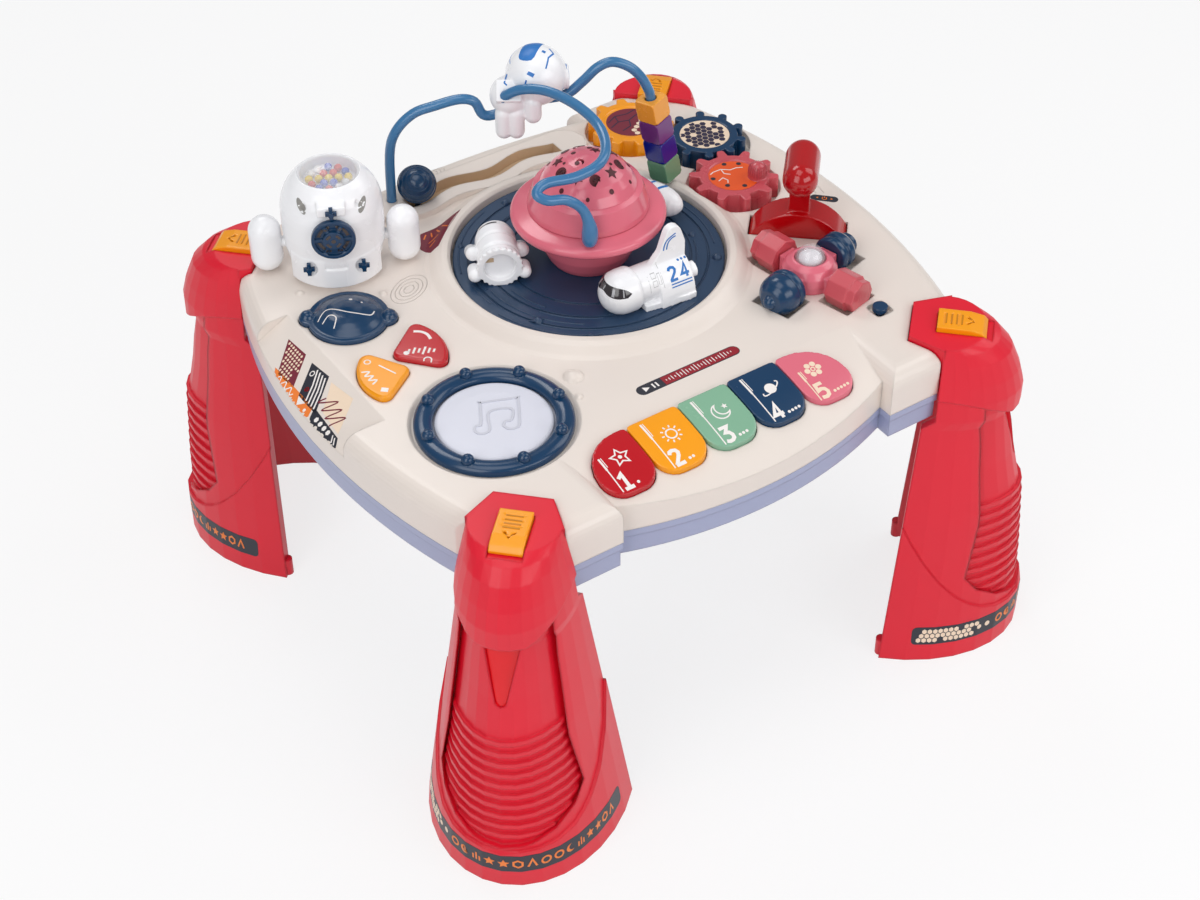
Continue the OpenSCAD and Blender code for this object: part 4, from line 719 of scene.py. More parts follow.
def new_tree(name, inputs):
    """A geometry tree with named inputs, and its first and last nodes."""
    tree = bpy.data.node_groups.new(name, "GeometryNodeTree")
    tree.interface.new_socket("Geometry", in_out="INPUT", socket_type="NodeSocketGeometry")
    for label, kind, default in inputs:
        socket = tree.interface.new_socket(label, in_out="INPUT", socket_type="NodeSocket" + kind)
        if default is not None:
            socket.default_value = default
    tree.interface.new_socket("Geometry", in_out="OUTPUT", socket_type="NodeSocketGeometry")
    return tree, tree.nodes.new("NodeGroupInput"), tree.nodes.new("NodeGroupOutput")


def step_node(tree, kind, settings=None, **links):
    """Adds a node of a geometry tree; links name its sockets with underscores for spaces."""
    node = tree.nodes.new(kind)
    for key, value in (settings or {}).items():
        setattr(node, key, value)
    for key, value in links.items():
        socket = node.inputs[key.replace("_", " ")]
        if isinstance(value, bpy.types.NodeSocket):
            tree.links.new(value, socket)
        else:
            socket.default_value = value
    return node


def named(tree, name, kind="FLOAT_VECTOR"):
    """The socket of a named attribute of the points."""
    return step_node(tree, "GeometryNodeInputNamedAttribute", {"data_type": kind}, Name=name).outputs[0]


def finish_tree(tree, given, result, geometry):
    """Ends a tree in Realize Instances and Set Material."""
    real = step_node(tree, "GeometryNodeRealizeInstances", Geometry=geometry)
    painted = step_node(
        tree, "GeometryNodeSetMaterial", Geometry=real.outputs[0], Material=given.outputs["Material"])
    tree.links.new(painted.outputs[0], result.inputs[0])
    return tree


def rail_tree():
    """A round rail along a path, thicker where the path says so."""
    tree, given, result = new_tree("rail along a path", [
        ("Radius", "Float", 0.001), ("Sides", "Int", 16), ("Material", "Material", None)])
    path = step_node(tree, "GeometryNodeMeshToCurve", Mesh=given.outputs["Geometry"])
    outline = step_node(
        tree, "GeometryNodeCurvePrimitiveCircle", Resolution=given.outputs["Sides"],
        Radius=given.outputs["Radius"])
    swept = step_node(
        tree, "GeometryNodeCurveToMesh", Curve=path.outputs[0], Profile_Curve=outline.outputs[0],
        Scale=named(tree, "thick", "FLOAT"), Fill_Caps=True)
    return finish_tree(tree, given, result, swept.outputs[0])


def tile_tree():
    """Flat many-sided tiles on points, each with its own turn and size."""
    tree, given, result = new_tree("tiles on points", [
        ("Corners", "Int", 6), ("Radius", "Float", 0.002), ("Thickness", "Float", 0.0002),
        ("Material", "Material", None)])
    tile = step_node(
        tree, "GeometryNodeMeshCircle", {"fill_type": "NGON"}, Vertices=given.outputs["Corners"],
        Radius=given.outputs["Radius"])
    placed = step_node(
        tree, "GeometryNodeInstanceOnPoints", Points=given.outputs["Geometry"],
        Instance=tile.outputs[0], Rotation=named(tree, "turn"), Scale=named(tree, "size"))
    real = step_node(tree, "GeometryNodeRealizeInstances", Geometry=placed.outputs[0])
    raised = step_node(
        tree, "GeometryNodeExtrudeMesh", {"mode": "FACES"}, Mesh=real.outputs[0],
        Offset_Scale=given.outputs["Thickness"])
    under = step_node(tree, "GeometryNodeFlipFaces", Mesh=real.outputs[0])
    joined = tree.nodes.new("GeometryNodeJoinGeometry")
    tree.links.new(raised.outputs[0], joined.inputs[0])
    tree.links.new(under.outputs[0], joined.inputs[0])
    welded = step_node(
        tree, "GeometryNodeMergeByDistance", Geometry=joined.outputs[0], Distance=0.001 * MM)
    return finish_tree(tree, given, result, welded.outputs[0])


def stud_tree():
    """Round studs on points."""
    tree, given, result = new_tree("studs on points", [
        ("Radius", "Float", 0.002), ("Material", "Material", None)])
    ball = step_node(
        tree, "GeometryNodeMeshUVSphere", Segments=24, Rings=16, Radius=given.outputs["Radius"])
    placed = step_node(
        tree, "GeometryNodeInstanceOnPoints", Points=given.outputs["Geometry"],
        Instance=ball.outputs[0], Scale=named(tree, "size"))
    return finish_tree(tree, given, result, placed.outputs[0])


def grown(name, tree, mesh, body, look, slot, **values):
    """A piece made by a geometry tree from a mesh of points or paths."""
    source = bpy.data.objects.new(name + "_source", mesh)
    bpy.context.scene.collection.objects.link(source)
    modifier = source.modifiers.new("grow", "NODES")
    modifier.node_group = tree
    values["Material"] = finish(look)
    for item in tree.interface.items_tree:
        if item.in_out == "INPUT" and item.name in values:
            modifier[item.identifier] = values[item.name]
    graph = bpy.context.evaluated_depsgraph_get()
    made = bpy.data.meshes.new_from_object(source.evaluated_get(graph))
    made.name = name
    bpy.data.objects.remove(source)
    return add_piece(name, made, body, look, slot, 40.0)


def path_mesh(name, paths, thick=None):
    """Open paths in millimetres as one mesh of edges; thick scales the rail at each point."""
    points, edges = [], []
    for path in paths:
        start = len(points)
        points.extend(Vector(point) * MM for point in path)
        edges.extend((start + step, start + step + 1) for step in range(len(path) - 1))
    mesh = bpy.data.meshes.new(name)
    mesh.from_pydata(points, edges, [])
    scale = mesh.attributes.new("thick", "FLOAT", "POINT")
    scale.data.foreach_set("value", thick or [1.0] * len(points))
    return mesh


def point_mesh(name, rows):
    """Points in millimetres with a turn about z in degrees and a size along x and y."""
    mesh = bpy.data.meshes.new(name)
    mesh.from_pydata([Vector(row[0]) * MM for row in rows], [], [])
    turn = mesh.attributes.new("turn", "FLOAT_VECTOR", "POINT")
    size = mesh.attributes.new("size", "FLOAT_VECTOR", "POINT")
    turn.data.foreach_set("vector", [part for row in rows for part in (0.0, 0.0, math.radians(row[1]))])
    size.data.foreach_set("vector", [part for row in rows for part in (row[2], row[3], 1.0)])
    return mesh


# ---------------------------------------------------------------- operators

class TABLE_OT_stage(bpy.types.Operator):
    """Makes the floor, the lights, the world and the camera"""
    bl_idname = "table.stage"
    bl_label = "Stage"

    def execute(self, context):
        self.floor()
        self.world(context.scene)
        self.lights()
        self.camera(context.scene)
        context.scene.view_settings.view_transform = "Standard"
        return {"FINISHED"}

    def floor(self):
        """A wide sheet that the camera and reflections see nearly white."""
        share_of_glow = 0.78
        form = bmesh.new()
        bmesh.ops.create_grid(form, x_segments=2, y_segments=2, size=6.0)
        mesh = mesh_from(form, "studio_floor")
        ground = bpy.data.objects.new("studio_floor", mesh)
        bpy.context.scene.collection.objects.link(ground)
        made = Finish("floor paper")
        made.set(Base_Color=(0.93, 0.93, 0.94), Roughness=0.9, Specular_IOR_Level=0.1)
        glow = made.add("ShaderNodeEmission", None, {"Color": (1.0, 1.0, 1.0), "Strength": 1.0})
        seen = made.add("ShaderNodeLightPath", output="Is Camera Ray")
        mirror = made.add("ShaderNodeLightPath", output="Is Glossy Ray")
        shown = made.add("ShaderNodeMixShader", None, {0: (seen + mirror) * share_of_glow})
        made.tree.links.new(made.shader.outputs[0], shown.socket.node.inputs[1])
        made.tree.links.new(glow.socket, shown.socket.node.inputs[2])
        made.tree.links.new(shown.socket, made.output.inputs[0])
        mesh.materials.append(made.material)

    def world(self, scene):
        """A soft pale light from all round, behind a white backdrop."""
        world = bpy.data.worlds.new("studio world")
        scene.world = world
        world.use_nodes = True
        tree = world.node_tree
        light = tree.nodes["Background"]
        light.inputs["Color"].default_value = (0.96, 0.97, 1.0, 1.0)
        light.inputs["Strength"].default_value = 0.30
        shown = tree.nodes.new("ShaderNodeBackground")
        shown.inputs["Color"].default_value = (1.0, 1.0, 1.0, 1.0)
        shown.inputs["Strength"].default_value = 1.0
        path = tree.nodes.new("ShaderNodeLightPath")
        mixed = tree.nodes.new("ShaderNodeMixShader")
        tree.links.new(path.outputs["Is Camera Ray"], mixed.inputs[0])
        tree.links.new(light.outputs[0], mixed.inputs[1])
        tree.links.new(shown.outputs[0], mixed.inputs[2])
        tree.links.new(mixed.outputs[0], tree.nodes["World Output"].inputs[0])

    def lights(self):
        """Soft boxes aimed at the play surface: name, place, width, height and power."""
        middle = Vector((0.0, 0.0, 0.27))
        soft_boxes = [
            ("softbox_left", (-1.5, -0.7, 1.3), 1.1, 1.5, 13.0),
            ("softbox_front", (0.4, -1.7, 1.1), 1.5, 0.8, 11.0),
            ("softbox_right", (1.4, -0.3, 1.4), 0.9, 1.2, 7.0),
            ("softbox_back", (0.1, 1.3, 1.8), 1.0, 0.6, 8.0),
            ("softbox_top", (-0.3, -0.1, 2.0), 1.0, 1.0, 6.0),
        ]
        for name, place, width, height, power in soft_boxes:
            lamp = bpy.data.lights.new(name, "AREA")
            lamp.shape = "RECTANGLE"
            lamp.size = width
            lamp.size_y = height
            lamp.energy = power
            holder = bpy.data.objects.new(name, lamp)
            bpy.context.scene.collection.objects.link(holder)
            holder.location = place
            aim = middle - Vector(place)
            holder.rotation_euler = aim.to_track_quat("-Z", "Y").to_euler()

    def camera(self, scene):
        """The view from the front left, a little rolled."""
        sensor_width, frame_width, focal_length = 36.0, 1200, 2202.124
        eye = Vector((-0.6988, -1.0527, 1.2272))
        target = Vector((-0.1005, -0.1589, 0.2755))
        back = (eye - target).normalized()
        right = Vector((0, 0, 1)).cross(back).normalized()
        up = back.cross(right)
        roll = math.radians(-0.418)
        axes = (
            right * math.cos(roll) + up * math.sin(roll),
            up * math.cos(roll) - right * math.sin(roll),
            back,
        )
        lens = bpy.data.cameras.new("view_camera")
        lens.sensor_width = sensor_width
        lens.sensor_fit = "HORIZONTAL"
        lens.lens = focal_length / frame_width * sensor_width
        lens.clip_start = 0.05
        lens.clip_end = 30.0
        holder = bpy.data.objects.new("view_camera", lens)
        scene.collection.objects.link(holder)
        place = Matrix(axes).transposed().to_4x4()
        place.translation = eye
        holder.matrix_world = place
        scene.camera = holder


def on_case(points):
    """Points (x, y) dropped on the top of the case, sunk a little; points beside it are left out."""
    sink = Vector((0, 0, 0.2))
    places = [below("top_shell", x, y) for x, y in points]
    return [tuple(place - sink) for place in places if place is not None]


def film(node, ray, name, look, outline, lift=1.0):
    """A print that is one filled outline."""
    Print(node, ray, lift).area(outline).lay(name, look)


class TABLE_OT_case(bpy.types.Operator):
    """Finishes the two shells of the case and the parts inside it"""
    bl_idname = "table.case"
    bl_label = "Case"

    def execute(self, context):
        keep("top_shell", "cream_shell")
        keep("bottom_shell", "lavender_shell")
        keep("battery_door", "lavender_shell")
        keep("case_screws", "steel")
        keep("circuit_board", "board_green")
        keep("speaker", "speaker_black")
        keep("batteries", "cell")
        self.level_strip()
        self.side_stickers()
        self.labels()
        self.motifs()
        return {"FINISHED"}

    def level_strip(self):
        """The strip of sound levels behind the keys."""
        y = -116
        over = from_above(0, y)
        film("top_shell", over, "level_strip_border", "ink_dark", pill(-41, 44.6, 0, 4.9))
        film(
            "top_shell", over, "level_strip_field", "strip_red",
            [(-19.5, -4.2)] + arc(39.9, 0, 4.2, -90, 90, 10) + [(-19.5, 4.2)], 1.7)
        heights = (
            1.4, 2.6, 4.2, 2.2, 5.4, 3.4, 6.2, 4.4, 2.6, 5.0, 6.4, 3.8, 2.4, 4.6, 6.0, 3.0, 5.2, 2.2, 3.8,
            5.6, 4.2, 2.6, 1.4)
        z = below("top_shell", 10, y).z + 0.18
        rows = [((-16.8 + 2.48 * place, y, z), 0, 0.72, 1.15 * tall) for place, tall in enumerate(heights)]
        grown(
            "level_strip_bars", tile_tree(), point_mesh("bars", rows), "case", "ink_white", "cream_shell",
            Corners=12, Radius=0.5 * MM, Thickness=0.14 * MM)
        sign = Print("top_shell", over, 1.7)
        sign.area([(-35.5, -2.6), (-30.8, 0), (-35.5, 2.6)])
        sign.strip([(-27.6, -2.4), (-27.6, 2.4)], 1.3).strip([(-24.6, -2.4), (-24.6, 2.4)], 1.3)
        sign.lay("level_strip_sign", "ink_white")

    def side_stickers(self):
        """The five stickers on the sloping facet."""
        over = from_above()
        film(
            "top_shell", over, "sticker_comb_field", "inlay_maroon",
            [(-206, 76), (-204.5, 53), (-224, 37.5), (-225.5, 58)])
        comb = Print("top_shell", over, 1.8)
        for row in range(7):
            for column in range(7):
                x = -207.4 - 2.55 * row
                y = 73.2 - 2.95 * column - 1.45 * (row % 2) + (x + 206) * 0.86
                if column < 5 or row < 4:
                    comb.area(circle(x, y, 1.0, 6, 30))
        comb.lay("sticker_comb_cells", "inlay_cream")
        film(
            "top_shell", over, "sticker_orange_field", "ink_orange",
            [(-223.8, 64), (-222.8, 11), (-231.0, 6.0), (-232.4, 30), (-228.6, 58)])
        bolts = Print("top_shell", over, 1.8)
        wave = [(-226.8 + 1.9 * math.sin(step * 0.9), 55 - 1.05 * step) for step in range(22)]
        bolts.strip(smooth_path(wave, 2), 0.8)
        bolts.area([(-224.8, 28), (-229.6, 23), (-225.0, 18.5)])
        bolts.disc(-228.2, 14.2, 1.2)
        bolts.lay("sticker_orange_marks", "ink_white")
        film(
            "top_shell", over, "sticker_dark_field", "ink_dark",
            [(-205.2, 43), (-203.2, 22), (-224.6, 4.6), (-225.2, 28)])
        bars = Print("top_shell", over, 1.8)
        for place in range(4):
            low = 20.6 + 3.6 * place
            bars.strip([(-205.6, low + 2.6), (-214, low - 5.0), (-223.6, low - 11.6)], 1.15)
        bars.ring(-209.6, 35.0, 1.7, 0.7, 16)
        bars.lay("sticker_dark_bars", "ink_white")
        Print("top_shell", over).disc(-218.6, 27.4, 1.9).lay("sticker_dark_dot", "key_red")
        film(
            "top_shell", over, "sticker_wave_field", "inlay_cream",
            [(-204.6, 16.4), (-201.6, -9), (-222.6, -24), (-220.6, 1)], 0.8)
        swing = []
        for step in range(49):
            along = step / 48
            sway = math.sin(along * 6.5 * math.pi)
            swing.append((-213.4 - 5.2 * along - 4.9 * sway, 8.4 - 25.5 * along + 4.2 * sway))
        Print("top_shell", over, 1.6).strip(swing, 0.95).lay("sticker_wave_line", "inlay_maroon")
        film(
            "top_shell", over, "sticker_black_field", "ink_dark",
            [(-222.4, 9.4), (-224.4, -26.6), (-230.8, -33.6), (-231.0, 3.8)])
        marks = Print("top_shell", over, 1.8)
        for place in range(4):
            marks.area(circle(-226.6, -0.4 - 5.4 * place, 1.9, 6))
        marks.strip([(-225.4, -21.5), (-229.2, -25.5)], 0.9).strip([(-225.6, -24.5), (-229.2, -28.5)], 0.9)
        marks.lay("sticker_black_marks", "ink_white")

    def labels(self):
        """The small label by the power button and the dark corner label."""
        tag = from_above(206, -8.2, -46)
        film("top_shell", tag, "power_label", "ink_dark", pill(-10.6, 10.6, 0, 3.6))
        sign = Print("top_shell", tag, 1.8)
        sign.strip(arc(0, 0, 1.7, 125, 415, 18), 0.6).strip([(0, 0.2), (0, 2.4)], 0.6)
        sign.disc(-5.4, 0, 0.8, 12).disc(5.4, 0, 0.8, 12)
        sign.lay("power_label_sign", "ink_orange")
        film(
            "top_shell", from_above(), "corner_label", "inlay_maroon",
            [(-69, 125), (-76.4, 118), (-79, 108), (-76, 98.5), (-69.6, 97.6), (-52, 112), (-33, 126)])
        marks = Print("top_shell", from_above(), 1.8)
        for place in range(4):
            top = (-66.4 + 4.6 * place, 122 - 0.2 * place)
            foot = (-70.6 + 6.2 * place, 117.6 - 1.2 * place)
            marks.strip([top, foot], 1.1)
        marks.strip([(-72.6, 106), (-66, 108.6)], 0.8).strip([(-70.4, 111), (-61, 113)], 0.8)
        marks.lay("corner_label_marks", "ink_orange")

    def motifs(self):
        """Fine raised rings and arrows moulded in the case."""
        paths = []
        for x, y, wide, deep, lean in ((-110, 72, 18, 11, 30), (-24, 188, 14, 8, 12)):
            for part in (1, 0.76, 0.52, 0.28):
                ring = oval(x, y, wide * part, deep * part, lean, circle(0, 0, 1, 40))
                paths.append(ring + ring[:1])
        for step in range(4):
            x, y = 190 + 5 * step, 22 - 3 * step
            paths.append([(x, y), (x + 7, y - 6), (x + 5.4, y - 15)])
        grown(
            "case_motifs", rail_tree(), path_mesh("motifs", [on_case(path) for path in paths]), "case",
            "cream_shell", "cream_shell", Radius=0.42 * MM, Sides=6)


# Which way each leg stands, in degrees.
CORNER_TURNS = {"back_right": 45, "back_left": 135, "front_left": 225, "front_right": 315}
# Height and half width of the well in a leg, from a blunt foot upwards.
WELL_ROWS = ((159.3, 2.2), (160.2, 3.2)) + tuple(
    (z, 3.6 + (z - 161.3) * 9.24 / 48.7) for z in (162, 166, 172, 178, 184, 190, 196, 202, 206, 209.4))


class TABLE_OT_legs(bpy.types.Operator):
    """Makes the four legs and their latches"""
    bl_idname = "table.legs"
    bl_label = "Legs and latches"

    def execute(self, context):
        for corner in ("front_left", "front_right", "back_left", "back_right"):
            keep("leg_" + corner, "leg_red")
            dress("latch_" + corner, "yellow", 0.5, 3, 24000)
            self.latch_marks(corner)
            self.notch(corner)
            self.foot_band(corner)
        return {"FINISHED"}

    def latch_marks(self, corner):
        """Painted shade in the four grip lines and the arrow on top of a latch: darker amber lines laid
        over the moulded marks.
        """
        turn = CORNER_TURNS[corner]
        marks = Print("latch_" + corner, from_above(*turned(264.5, 0, turn), turn), 2.6)
        for step in range(4):
            x = -11.5 + 3.7 * step
            marks.strip([(x, -5.6), (x, 5.6)], 1.0)
        marks.strip([(3.4, -4.2), (7.4, 0), (3.4, 4.2)], 1.0)
        marks.lay("latch_%s_marks" % corner, "latch_amber")

    def notch(self, corner):
        """The bright red well under the hood of a leg, sunk a little behind the panel."""
        turn = CORNER_TURNS[corner]
        out = Vector((*turned(1, 0, turn), 0))
        side = Vector((*turned(0, 1, turn), 0))
        form = bmesh.new()
        rows = []
        for z, half in WELL_ROWS:
            reach = []
            for hand in (-1, 1):
                start = out * 380 + side * (hand * (half + 3.4)) + Vector((0, 0, z))
                reach.append(surface("leg_" + corner).ray_cast(start, -out)[0].dot(out))
            row = []
            for sunk in (1.3, 3.4):
                for place in (-1, -0.5, 0, 0.5, 1):
                    bulge = 0.5 * (1 - place * place)
                    spot = out * (min(reach) - sunk + bulge) + side * (half * place) + Vector((0, 0, z))
                    row.append(form.verts.new(spot))
            rows.append(row[:5] + row[:4:-1])
        bridge(form, rows)
        for row in (rows[0], rows[-1]):
            form.faces.new(row)
        solid(form, "leg_well_" + corner, BODY_OF["leg_" + corner], "well_red", "leg_red", 50)

    def foot_band(self, corner):
        """The dark band round the foot, with honeycomb at one end and orange signs along the rest."""
        turn = CORNER_TURNS[corner]
        wrap = around((*turned(255, 0, turn), 0), turn, 76, 120)
        low, high, end, bend = 14.6, 31.0, 114, 4
        outline = (
            arc(-end, low + bend, bend, 270, 180, 4) + arc(-end, high - bend, bend, 180, 90, 4)
            + [(x, high) for x in range(-104, 110, 8)] + arc(end, high - bend, bend, 90, 0, 4)
            + arc(end, low + bend, bend, 0, -90, 4) + [(x, low) for x in range(108, -108, -8)])
        film("leg_" + corner, wrap, "foot_band_" + corner, "ink_dark", outline)
        cells = Print("leg_" + corner, wrap, 1.8)
        missing = ((0, 4), (2, 8), (0, 11), (2, 0), (1, 10))
        for row in range(3):
            for column in range(12):
                if (row, column) not in missing:
                    x = -112 + 4.7 * column + 2.35 * (row % 2)
                    cells.area(circle(x, 18.7 + 4.06 * row, 2.25, 6, 30))
        cells.disc(-50, 22.8, 2.3, 14)
        cells.lay("foot_comb_" + corner, "inlay_cream")
        signs = Print("leg_" + corner, wrap, 1.8)
        for place in range(15):
            x, y = -38 + 9.9 * place, 22.8
            kind = (place * 5 + place // 4) % 6
            if kind == 0:
                signs.ring(x, y, 3.2, 1.5, 20)
            if kind == 1:
                signs.strip([(x - 3, y - 3.6), (x, y + 3.6), (x + 3, y - 3.6)], 1.6)
            if kind == 2:
                signs.strip(circle(x, y, 3.5, 6, 30), 1.5, True)
            if kind == 3:
                signs.area(star(x, y, 4.2, 0.48))
            if kind == 4:
                for shift in (-2.6, 0, 2.6):
                    signs.strip([(x + shift, y - 3.6), (x + shift, y + 3.6 - abs(shift))], 1.3)
            if kind == 5:
                signs.area(crescent(x, y, 3.8, 20, 8))
        signs.lay("foot_signs_" + corner, "ink_orange")


# Radius and first and last angle of each raised line on the turntable.
DISC_LINES = (
    (95, -166, -118), (89, -152, -108), (82.5, -182, -126), (76, -151, -116), (70, -176, -150),
    (59, -148, -112), (95.5, -106, -72), (88, -92, -34), (79, -60, -22), (71, -44, -12), (93, -26, 14),
    (85, 2, 44), (73, 24, 58), (95, 38, 92), (87, 66, 118), (77, 84, 136), (95, 112, 160),
    (63, 126, 172), (84, 148, 176), (63, -96, -58), (91, 170, 186))


class TABLE_OT_turntable(bpy.types.Operator):
    """Makes the turntable and the riders on it"""
    bl_idname = "table.turntable"
    bl_label = "Turntable"

    def execute(self, context):
        keep("turntable", "slate")
        dress("shuttle", "white", 0.5, 4, 80000)
        dress("space_station", "white", 0.5, 2, 80000)
        dress("rocket", "white", 0.5, 3, 60000)
        self.lines()
        self.shuttle_marks()
        self.station_marks()
        self.rocket_marks()
        return {"FINISHED"}

    def lines(self):
        """Fine raised lines, each on its own circle, all round the disc."""
        paths = []
        for radius, first, last in DISC_LINES:
            path = []
            for x, y in arc(*HUB, radius, first, last, max(6, int((last - first) / 3))):
                place = below("turntable", x, y, 272)
                path.append((place.x, place.y, place.z - 0.15))
            paths.append(path)
        grown(
            "turntable_lines", rail_tree(), path_mesh("lines", paths), "turntable", "slate", "slate",
            Radius=sizes().dash, Sides=8)

    def shuttle_marks(self):
        """Windscreen, number, stripes and seams of the shuttle."""
        nose = globe((1.76, -33.98, 282.5), (-1, 0.035, 0), (0, 0, 1), 16.5, 30)
        top = [(-26, 7.6), (-22, 10.8), (-14, 12.6), (0, 13.2), (14, 12.6), (22, 10.8), (26, 7.6)]
        low = [(22, 5.3), (14, 4.8), (7, 5.6), (0, 7.6), (-7, 5.6), (-14, 4.8), (-22, 5.3)]
        screen = smooth_path(top, 4) + smooth_path(low, 4)
        film("shuttle", nose, "shuttle_windscreen", "window_dark", screen, 1.2)
        bars = Print("shuttle", nose, 2.0)
        for x, wide in ((-10.4, 2.2), (10.4, 2.2), (-19.0, 1.1), (19.0, 1.1), (0, 1.2)):
            bars.strip([(x, 5.9 if x else 8.2), (x, 11.4)], wide)
        bars.lay("shuttle_window_bars", "silver")
        for hand, side in ((1, "near"), (-1, "far")):
            flank = facing(
                (42.8, -36.0 - 10.5 * hand, 289.8), (hand, -0.035 * hand, 0), (0, 0.62 * hand, 0.79), 20)
            marks = Print("shuttle", flank)
            marks.numeral("2", -8.6, -4.8, 10.2, 2.0).numeral("4", 0.9, -4.8, 10.2, 2.0)
            for step in range(3):
                marks.disc(hand * (3.0 + 3.0 * step), 8.3, 0.95, 8)
            marks.strip([(-8.4, -6.9), (8.8, -6.9)], 0.9).strip([(-8.4, -9.0), (8.8, -9.0)], 0.9)
            marks.lay("shuttle_number_" + side, "ink_blue")
            fin = facing((0, -36 if hand > 0 else -35, 0), (hand, -0.035 * hand, 0), (0, 0, 1), 10)
            stripes = Print("shuttle", fin)
            for shift in (0.0, 2.6):
                path = [
                    (35.2 + shift, 306.4), (36.2 + shift, 311.2), (39.0 + shift, 315.0 - 0.2 * shift),
                    (45.2, 317.9 - 0.9 * shift)]
                stripes.strip(smooth_path([(x * hand, z) for x, z in path], 5), 1.05)
            stripes.lay("shuttle_fin_stripes_" + side, "ink_blue")
        seams = Print("shuttle", facing((20, -35, 0), (1, -0.035, 0), (0, 0, 1), 40), 0.5)
        seams.strip([(-1.8, 283), (-1.8, 300)], 0.35).strip([(9.0, 284), (9.0, 299)], 0.35)
        for left, right, low, high in (
                (1.0, 4.4, 286.4, 290.2), (1.0, 4.4, 291.8, 294.4), (5.8, 7.8, 287.0, 293.6)):
            seams.strip([(left, low), (right, low), (right, high), (left, high)], 0.35, True)
        seams.lay("shuttle_seams", "seam_grey")

    def station_marks(self):
        """The slot, laid as painted shade, and the hatch of the space station."""
        top = from_above(-43.2, 70.4, -26, 320)
        # The slot is a dark film of painted shade, laid where the opening would lie in shade.
        film("space_station", top, "station_slot", "window_dark", pill(-6.6, 6.6, 0, 1.15, 5))
        flank = facing((-60.2, 41.0, 288.2), (0.9, -0.44, 0), (0, 0, 1), 25)
        hatch = [(-3.2, -1.8), (3.2, -1.8), (3.2, 1.8), (-3.2, 1.8)]
        film("space_station", flank, "station_hatch", "groove_tan", hatch)

    def rocket_marks(self):
        """Two bands round the rocket."""
        place, heading, radius = 20, 115, 12.5
        x, y = turned(71, 0, place)
        along = (*turned(-1, 0, heading), 0)
        bands = Print("rocket", axle((HUB[0] + x, HUB[1] + y, 280.5), along, radius, 30))
        for reach in (4.0, 14.0):
            loop = []
            for step in range(49):
                wave = 1.6 * math.sin(step * math.pi / 6)
                loop.append((2 * math.pi * radius * step / 48, reach + wave))
            bands.strip(loop, 2.2)
        bands.lay("rocket_bands", "ink_blue")


DOME_MIDDLE = (*HUB, 317.5)
DOME_RADIUS = 38
DOME_SINGLE_TILT = 16
DOME_SPACING = 72
# Kind, tilt from the pole, first turn and size of the openings. Each stands five times round the
# dome, but for the one nearest to the pole, which stands once.
DOME_MARKS = (
    ("star", 34, 0, 5.2), ("moon", 36, 34, 4.6), ("dot", 17, 50, 1.8), ("dot", 52, 54, 2.0),
    ("star", 14, 20, 4.4), ("dot", 27, 18, 1.2), ("dot", 56, 20, 1.6))


class TABLE_OT_lamp(bpy.types.Operator):
    """Makes the lamp in the middle of the turntable"""
    bl_idname = "table.lamp"
    bl_label = "Lamp"

    def execute(self, context):
        dress("lamp_base", "pink", 0.9, 3, 60000)
        keep("lamp_dome", "pink")
        keep("lamp_board", "lamp_board")
        self.openings()
        return {"FINISHED"}

    def openings(self):
        """Shades the star, moon and dot openings of the dome."""
        form = bmesh.new()
        bmesh.ops.create_uvsphere(form, u_segments=128, v_segments=64, radius=DOME_RADIUS * MM)
        bmesh.ops.translate(form, vec=[part * MM for part in DOME_MIDDLE], verts=form.verts)
        ball = mesh_from(form, "dome_ball")
        SURFACES["lamp_dome"] = tree_of(ball)
        bpy.data.meshes.remove(ball)
        marks = Print("lamp_dome", polar(DOME_MIDDLE, DOME_RADIUS, 60), 1.6)
        for kind, tilt, first, size in DOME_MARKS:
            sweep = DOME_SPACING if tilt < DOME_SINGLE_TILT else 360
            for turn in range(first, first + sweep, DOME_SPACING):
                x, y = turned(DOME_RADIUS * math.radians(tilt), 0, turn)
                if kind == "star":
                    marks.area(star(x, y, size, 0.47, 5, turn))
                if kind == "moon":
                    marks.area(crescent(x, y, size, turn + 50, 10))
                if kind == "dot":
                    marks.disc(x, y, size, 16)
        marks.lay("lamp_dome_openings", "dome_dark")


class TABLE_OT_drum(bpy.types.Operator):
    """Makes the drum ring and its pad"""
    bl_idname = "table.drum"
    bl_label = "Drum"

    def execute(self, context):
        dress("drum_ring", "navy", 0.6, 2, 56000)
        dress("drum_pad", "pad_white", 0.7, 2, 34000)
        # The note is a raised line, painted a little darker than the pad as the shade of its relief.
        note = Print("drum_pad", from_above(-134, -84, -30), 4.0)
        outline = [
            (-8.6, 15.4), (13.2, 18.6), (15.6, 16.4), (15.6, -7.0), (13.6, -12.0), (8.8, -13.4),
            (5.0, -10.0), (6.2, -5.4), (10.4, -3.8), (10.8, 7.4), (-4.4, 5.0), (-4.4, -11.6),
            (-6.8, -16.0), (-11.6, -16.6), (-14.6, -13.0), (-13.6, -8.6), (-10.2, -7.0), (-10.0, 13.4)]
        note.strip(smooth_path(outline + outline[:3], 4)[4:-8], 1.7, True)
        note.lay("drum_pad_note", "note_relief_shade")
        studs = [((x, y, 270.6), 0, 1.0, 1.0) for x, y in circle(-136, -85, 47.9, 8, -8)]
        grown(
            "drum_ring_studs", stud_tree(), point_mesh("studs", studs), "case", "navy", "navy",
            Radius=4.5 * MM)
        return {"FINISHED"}


